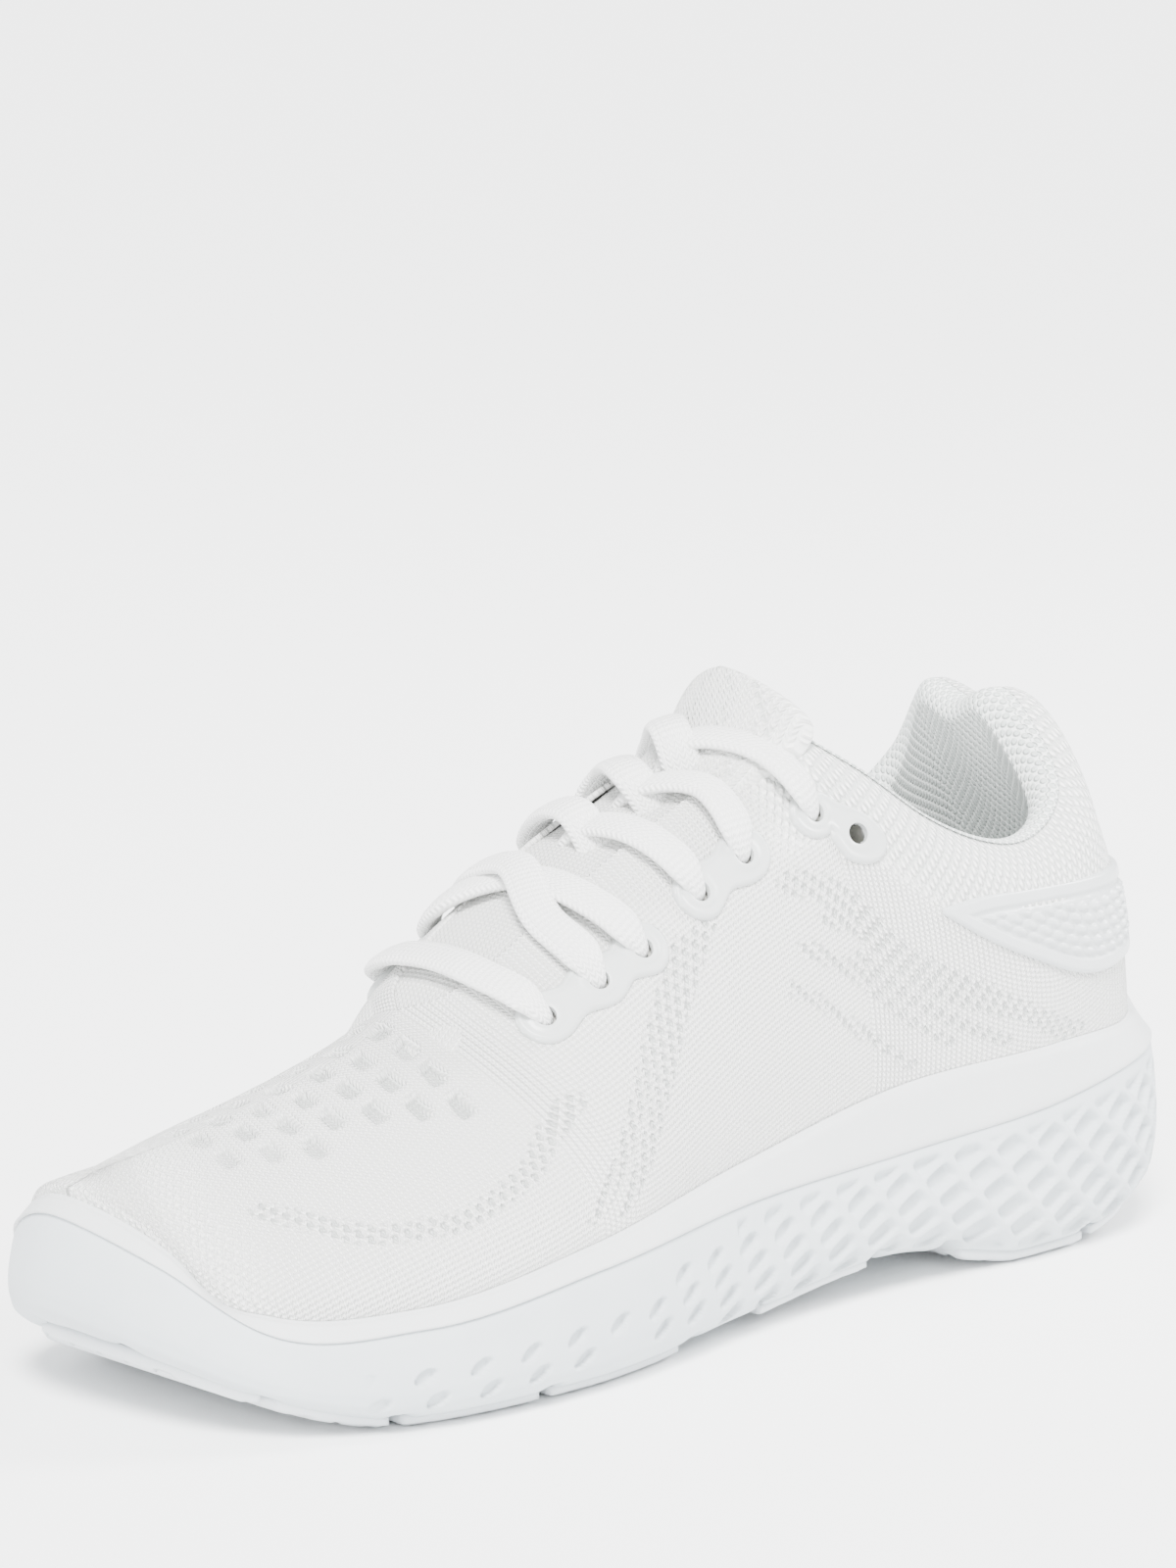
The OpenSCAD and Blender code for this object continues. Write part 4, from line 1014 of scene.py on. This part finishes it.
def insole():
    """The insole's mesh top with a rounded edge, in place of the insole's top cloth and foam."""
    def ring(inset, shift, s, p):
        return inset_point(s, p, inset, z_floor(p) + shift)
    section = ((13.4, 1.9), (12.9, 3.0), (12.9, 5.5), (13.3, 6.6), (14.2, 7.0), (16, 7.1))
    loops = np.array([around(lambda s, p, a=a, b=b: ring(a, b, s, p), 300) for a, b in section])
    obj = sole_solid("insole_sock", loops, SOCK, ("insole_top_cloth", "insole_foam"))
    co = loops.reshape(-1, 3)
    layer = obj.data.attributes.new("cloth", "FLOAT_VECTOR", "POINT")
    layer.data.foreach_set("vector", co.astype(np.float32).ravel())


midsole()
rim()
outsole()
insole()


# ---------------------------------------------------------------- films
def moved(s, e, along, up):
    """Moves (p, v) along and across the upper's surface by millimetres."""
    step = 0.004
    p, v = e[..., 0], e[..., 1]
    dp = (upper_point(s, p + step, v) - upper_point(s, p - step, v)) / (2 * step)
    dv = (upper_point(s, p, v + step) - upper_point(s, p, v - step)) / (2 * step)
    a = unit(dp)
    side = (dv * a).sum(-1)
    b = unit(dv - a * side[..., None])
    dv_up = up / (dv * b).sum(-1)
    dp_along = (along - dv_up * side) / np.linalg.norm(dp, axis=-1)
    return np.stack([p + dp_along, np.minimum(v + dv_up, .995)], -1)


def eyestay(s, first, last, wide, narrow, ends, name):
    """A lobed film along a chain of eyelets, with a bead at its edge and a raised ring round each hole."""
    chain = np.array(EYELETS[first:last + 1])
    xs = np.arange(len(chain))
    steps = 16
    t = np.linspace(0, len(chain) - 1, steps * (len(chain) - 1) + 1)
    centre = curve(xs, chain, t)
    half = narrow + (wide - narrow) * np.abs(np.cos(t * np.pi))**1.5
    angle = np.radians(np.linspace(86, 4, 14))
    before = [(chain[0], ends[0] * math.sin(a), wide * math.cos(a)) for a in angle]
    after = [(chain[-1], -ends[1] * math.sin(a), wide * math.cos(a)) for a in angle[::-1]]
    rows = before + [(c, 0.0, h) for c, h in zip(centre, half)] + after
    w = np.linspace(-1, 1, 33)
    e = np.array([[r[0]] * len(w) for r in rows])
    along = np.array([[r[1]] * len(w) for r in rows])
    up = np.array([[r[2]] for r in rows]) * w[None]
    pv = moved(s, e, along, up)
    surface = upper_point(s, pv[..., 0], pv[..., 1])
    normal = upper_normal(s, pv[..., 0], pv[..., 1])
    edge_line = np.concatenate([surface[:, 0], surface[:, -1], surface[0], surface[-1]])
    edge = np.min(np.linalg.norm(surface[:, :, None] - edge_line[None, None], axis=-1), -1)
    centres = upper_point(s, chain[:, 0], chain[:, 1])
    hole = np.min(np.linalg.norm(surface[:, :, None] - centres[None, None], axis=-1), -1)
    bead = .30 * np.exp(-((edge - 1.0) / .55)**2)
    ring = .32 * np.exp(-((hole - 3.1) / .55)**2)
    height = .35 + .75 * np.sqrt(smooth_step(-.1, .9, edge)) + bead + ring
    outer = surface + normal * height[..., None]
    inner = surface - normal * 0.15
    obj = closed_sheet(name + "_film", outer, inner, FILM, "shoe", turned=(s < 0), replaces=(name,))
    drill(obj, s, chain)


def drill(obj, s, chain, radius=2.3, depth=8.0):
    """Cuts the eyelets through a film."""
    for p, v in chain:
        place = (upper_point(s, p, v) + SHIFT) * MM
        axis = Vector(upper_normal(s, p, v))
        bpy.ops.mesh.primitive_cylinder_add(vertices=40, radius=radius * MM, depth=depth * MM, location=place,
                                            rotation=axis.to_track_quat("Z", "Y").to_euler())
        tool = bpy.context.object
        cut = obj.modifiers.new("hole", "BOOLEAN")
        cut.operation = "DIFFERENCE"
        cut.object = tool
        cut.solver = "EXACT"
        depsgraph = bpy.context.evaluated_depsgraph_get()
        mesh = bpy.data.meshes.new_from_object(obj.evaluated_get(depsgraph))
        obj.modifiers.remove(cut)
        obj.data = mesh
        bpy.data.objects.remove(tool)
    obj.data.shade_smooth()
    obj.data.set_sharp_from_angle(angle=math.radians(40))


def films():
    for s, side in ((LATERAL, "lateral"), (MEDIAL, "medial")):
        eyestay(s, 0, 2, 6, 4.2, (6.5, 6), f"eyestay_{side}_lower")
        eyestay(s, 3, 4, 6, 4.2, (6, 7), f"eyestay_{side}_middle")
        eyestay(s, 5, 6, 5.5, 3.6, (6, 8), f"eyestay_{side}_top")


def heel_clip():
    """A moulded film round the heel: a smooth border, a groove inside it and rows of raised studs."""
    p = np.linspace(0, .314, 150)
    k = np.linspace(0, 1, 56)
    sides = []
    for s in (MEDIAL, LATERAL):
        low = v_at(s, p, curve(P_CLIP, CLIP_LOW, p, 0))
        high = v_at(s, p, curve(P_CLIP, CLIP_TOP, p, 0))
        pp = np.broadcast_to(p[:, None], (len(p), len(k)))
        vv = low[:, None] + (high - low)[:, None] * k[None]
        surface = upper_point(s, pp, vv)
        normal = upper_normal(s, pp, vv)
        normal[0] = unit(normal[0] * np.array([1, 0, 1]))
        up = run_length(surface, 1)
        tall = up[:, -1:]
        along = np.broadcast_to(run_length(surface[:, 28:29], 0), pp.shape)
        tip = along[-1:, :] - along
        edge = np.minimum(np.minimum(up, tall - up) * .95, tip * .55)
        border = smooth_step(2.6, 3.6, edge)
        groove = np.exp(-((edge - 3.9) / .5)**2)
        lean = along + up * .5
        row = np.round(up / 2.6)
        phase = lean / 4.4 + .5 * (row % 2)
        du = np.abs(phase - np.round(phase)) * 4.4
        dv = np.abs(up - row * 2.6)
        stud = 1 - smooth_step(.5, 1.25, (du / 1.6)**2 + (dv / 0.95)**2)
        height = .3 + 1.1 * np.sqrt(smooth_step(-.1, .9, edge)) - .55 * border - .25 * groove
        height = height + stud * smooth_step(4.2, 5.0, edge) * .85
        outer = surface + normal * height[..., None]
        inner = surface - normal * .15
        order = slice(None, None, -1) if s == MEDIAL else slice(None)
        sides.append([outer[order], inner[order]])
    outer, inner = [np.concatenate([a, b[1:]]) for a, b in zip(*sides)]
    closed_sheet("heel_clip_film", outer, inner, CLIP, "shoe", turned=True, replaces=("heel_clip",))


films()
heel_clip()


# ---------------------------------------------------------------- lacing
SKIN = LACE_T / 2 + 0.7


def hole(s, i, h):
    return off_upper(s, np.array(EYELETS[i][0]), np.array(EYELETS[i][1]), h)


def over_edge(s, p, v, h):
    return off_upper(s, np.array(p), np.array(v), h)


def crown(t, h):
    q = tongue_point(np.array(float(t)), np.array(0.0), np.array(-h), np.array(1.0))
    return q


def pull(s, i, towards, h):
    """Just outside eyelet i, leaning towards the strand."""
    base = hole(s, i, h)
    return base + unit(towards - base) * 3.2


def strand(s, start, under_p, t, other, over_p, high, shows_start):
    """One strand of lacing, from the inside or outside of eyelet start on side s to eyelet other across."""
    top = crown(t, LACE_T / 2 + .3 + (LACE_T + .1 if high else 0))
    far_edge = over_edge(-s, over_p, .96, SKIN + .1)
    if shows_start:
        near_edge = over_edge(s, under_p, .96, SKIN + .1)
        head = [hole(s, start, -4.5), hole(s, start, -.5), pull(s, start, near_edge, SKIN), near_edge]
    else:
        near_mid = over_edge(s, (EYELETS[start][0] + under_p) / 2, .87, -4.6)
        near_edge = over_edge(s, under_p, .99, -4.4) + np.array([0, -3.0 * s, 0])
        head = [hole(s, start, -4.6), near_mid, near_edge]
    tail = [far_edge, pull(-s, other, far_edge, SKIN), hole(-s, other, -.5), hole(-s, other, -4.5)]
    return head + [top] + tail, top


def lacing():
    loops_all = []
    strands = [
        (LATERAL, 1, .547, 3.4, 2, .527, True, True), (MEDIAL, 1, .547, 3.4, 2, .527, False, True),
        (MEDIAL, 2, .497, 4.4, 3, .482, False, False), (LATERAL, 2, .497, 4.4, 3, .482, True, False),
        (LATERAL, 3, .458, 5.5, 4, .44, True, False), (MEDIAL, 3, .458, 5.5, 4, .44, False, False),
        (MEDIAL, 4, .436, 6.6, 5, .402, False, False), (LATERAL, 4, .436, 6.6, 5, .402, True, False),
    ]
    for spec in strands:
        points, top = strand(*spec)
        loops_all.append(lace_sections(points, top))
    edges = [over_edge(s, .588, .96, SKIN + .1) for s in (LATERAL, MEDIAL)]
    bar = [hole(LATERAL, 0, -4.5), hole(LATERAL, 0, -.5), pull(LATERAL, 0, edges[0], SKIN), edges[0],
           crown(2.0, LACE_T / 2 + 1.2), edges[1], pull(MEDIAL, 0, edges[1], SKIN), hole(MEDIAL, 0, -.5),
           hole(MEDIAL, 0, -4.5)]
    loops_all.append(lace_sections(bar, crown(2.0, LACE_T / 2 + 1.2)))
    for s in (LATERAL, MEDIAL):
        under = [hole(s, 0, -4.4), over_edge(s, .563, .71, -4.6), hole(s, 1, -4.4)]
        loops_all.append(lace_sections(under, under[1], hidden=True))
        tuck = [hole(s, 5, -4.4), over_edge(s, .391, .69, -5.0), over_edge(s, .393, .655, -5.0)]
        loops_all.append(lace_sections(tuck, tuck[1], hidden=True))
    points, faces, cloth = [], [], []
    start = 0
    for loops, marks in loops_all:
        m, n = loops.shape[:2]
        faces += grid_faces(m, n, start, wrap_v=True).tolist()
        faces.append(list(range(start + n - 1, start - 1, -1)))
        faces.append(list(range(start + (m - 1) * n, start + m * n)))
        points.append(loops.reshape(-1, 3))
        cloth.append(marks.reshape(-1, 3))
        start += m * n
    obj = piece("lace_braid", np.concatenate(points), faces, LACE, "shoe", ("lace",),
                {"cloth": np.concatenate(cloth)})
    face_outward(obj)


def lace_sections(points, top, hidden=False):
    line = resample(points, 0.9)
    s = run_length(line)
    nearest = int(np.argmin(np.linalg.norm(line - top, axis=1)))
    ends = np.minimum(s, s[-1] - s)
    open_up = smooth_step(3.5, 12, ends)
    if hidden:
        open_up = open_up * 0 + .25
    width = 4.0 + (LACE_W - 4.0) * open_up
    thick = 3.2 + (LACE_T - 3.2) * open_up
    up = np.array([0.35, 0, 1.0])
    return ribbon_loops(line, up, width, thick, 20, nearest)


lacing()

# ---------------------------------------------------------------- carried-over nodes
CARRIED = {"collar_padding": FOAM_PAD, "strobel_board": BOARD, "vamp_lining": SMOOTH_LINING,
           "toe_puff": STIFF, "heel_counter": STIFF, "eyestay_backing_lateral": BOARD,
           "eyestay_backing_medial": BOARD}
for node_name, material in CARRIED.items():
    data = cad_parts[node_name].data
    data.materials.clear()
    data.materials.append(material)
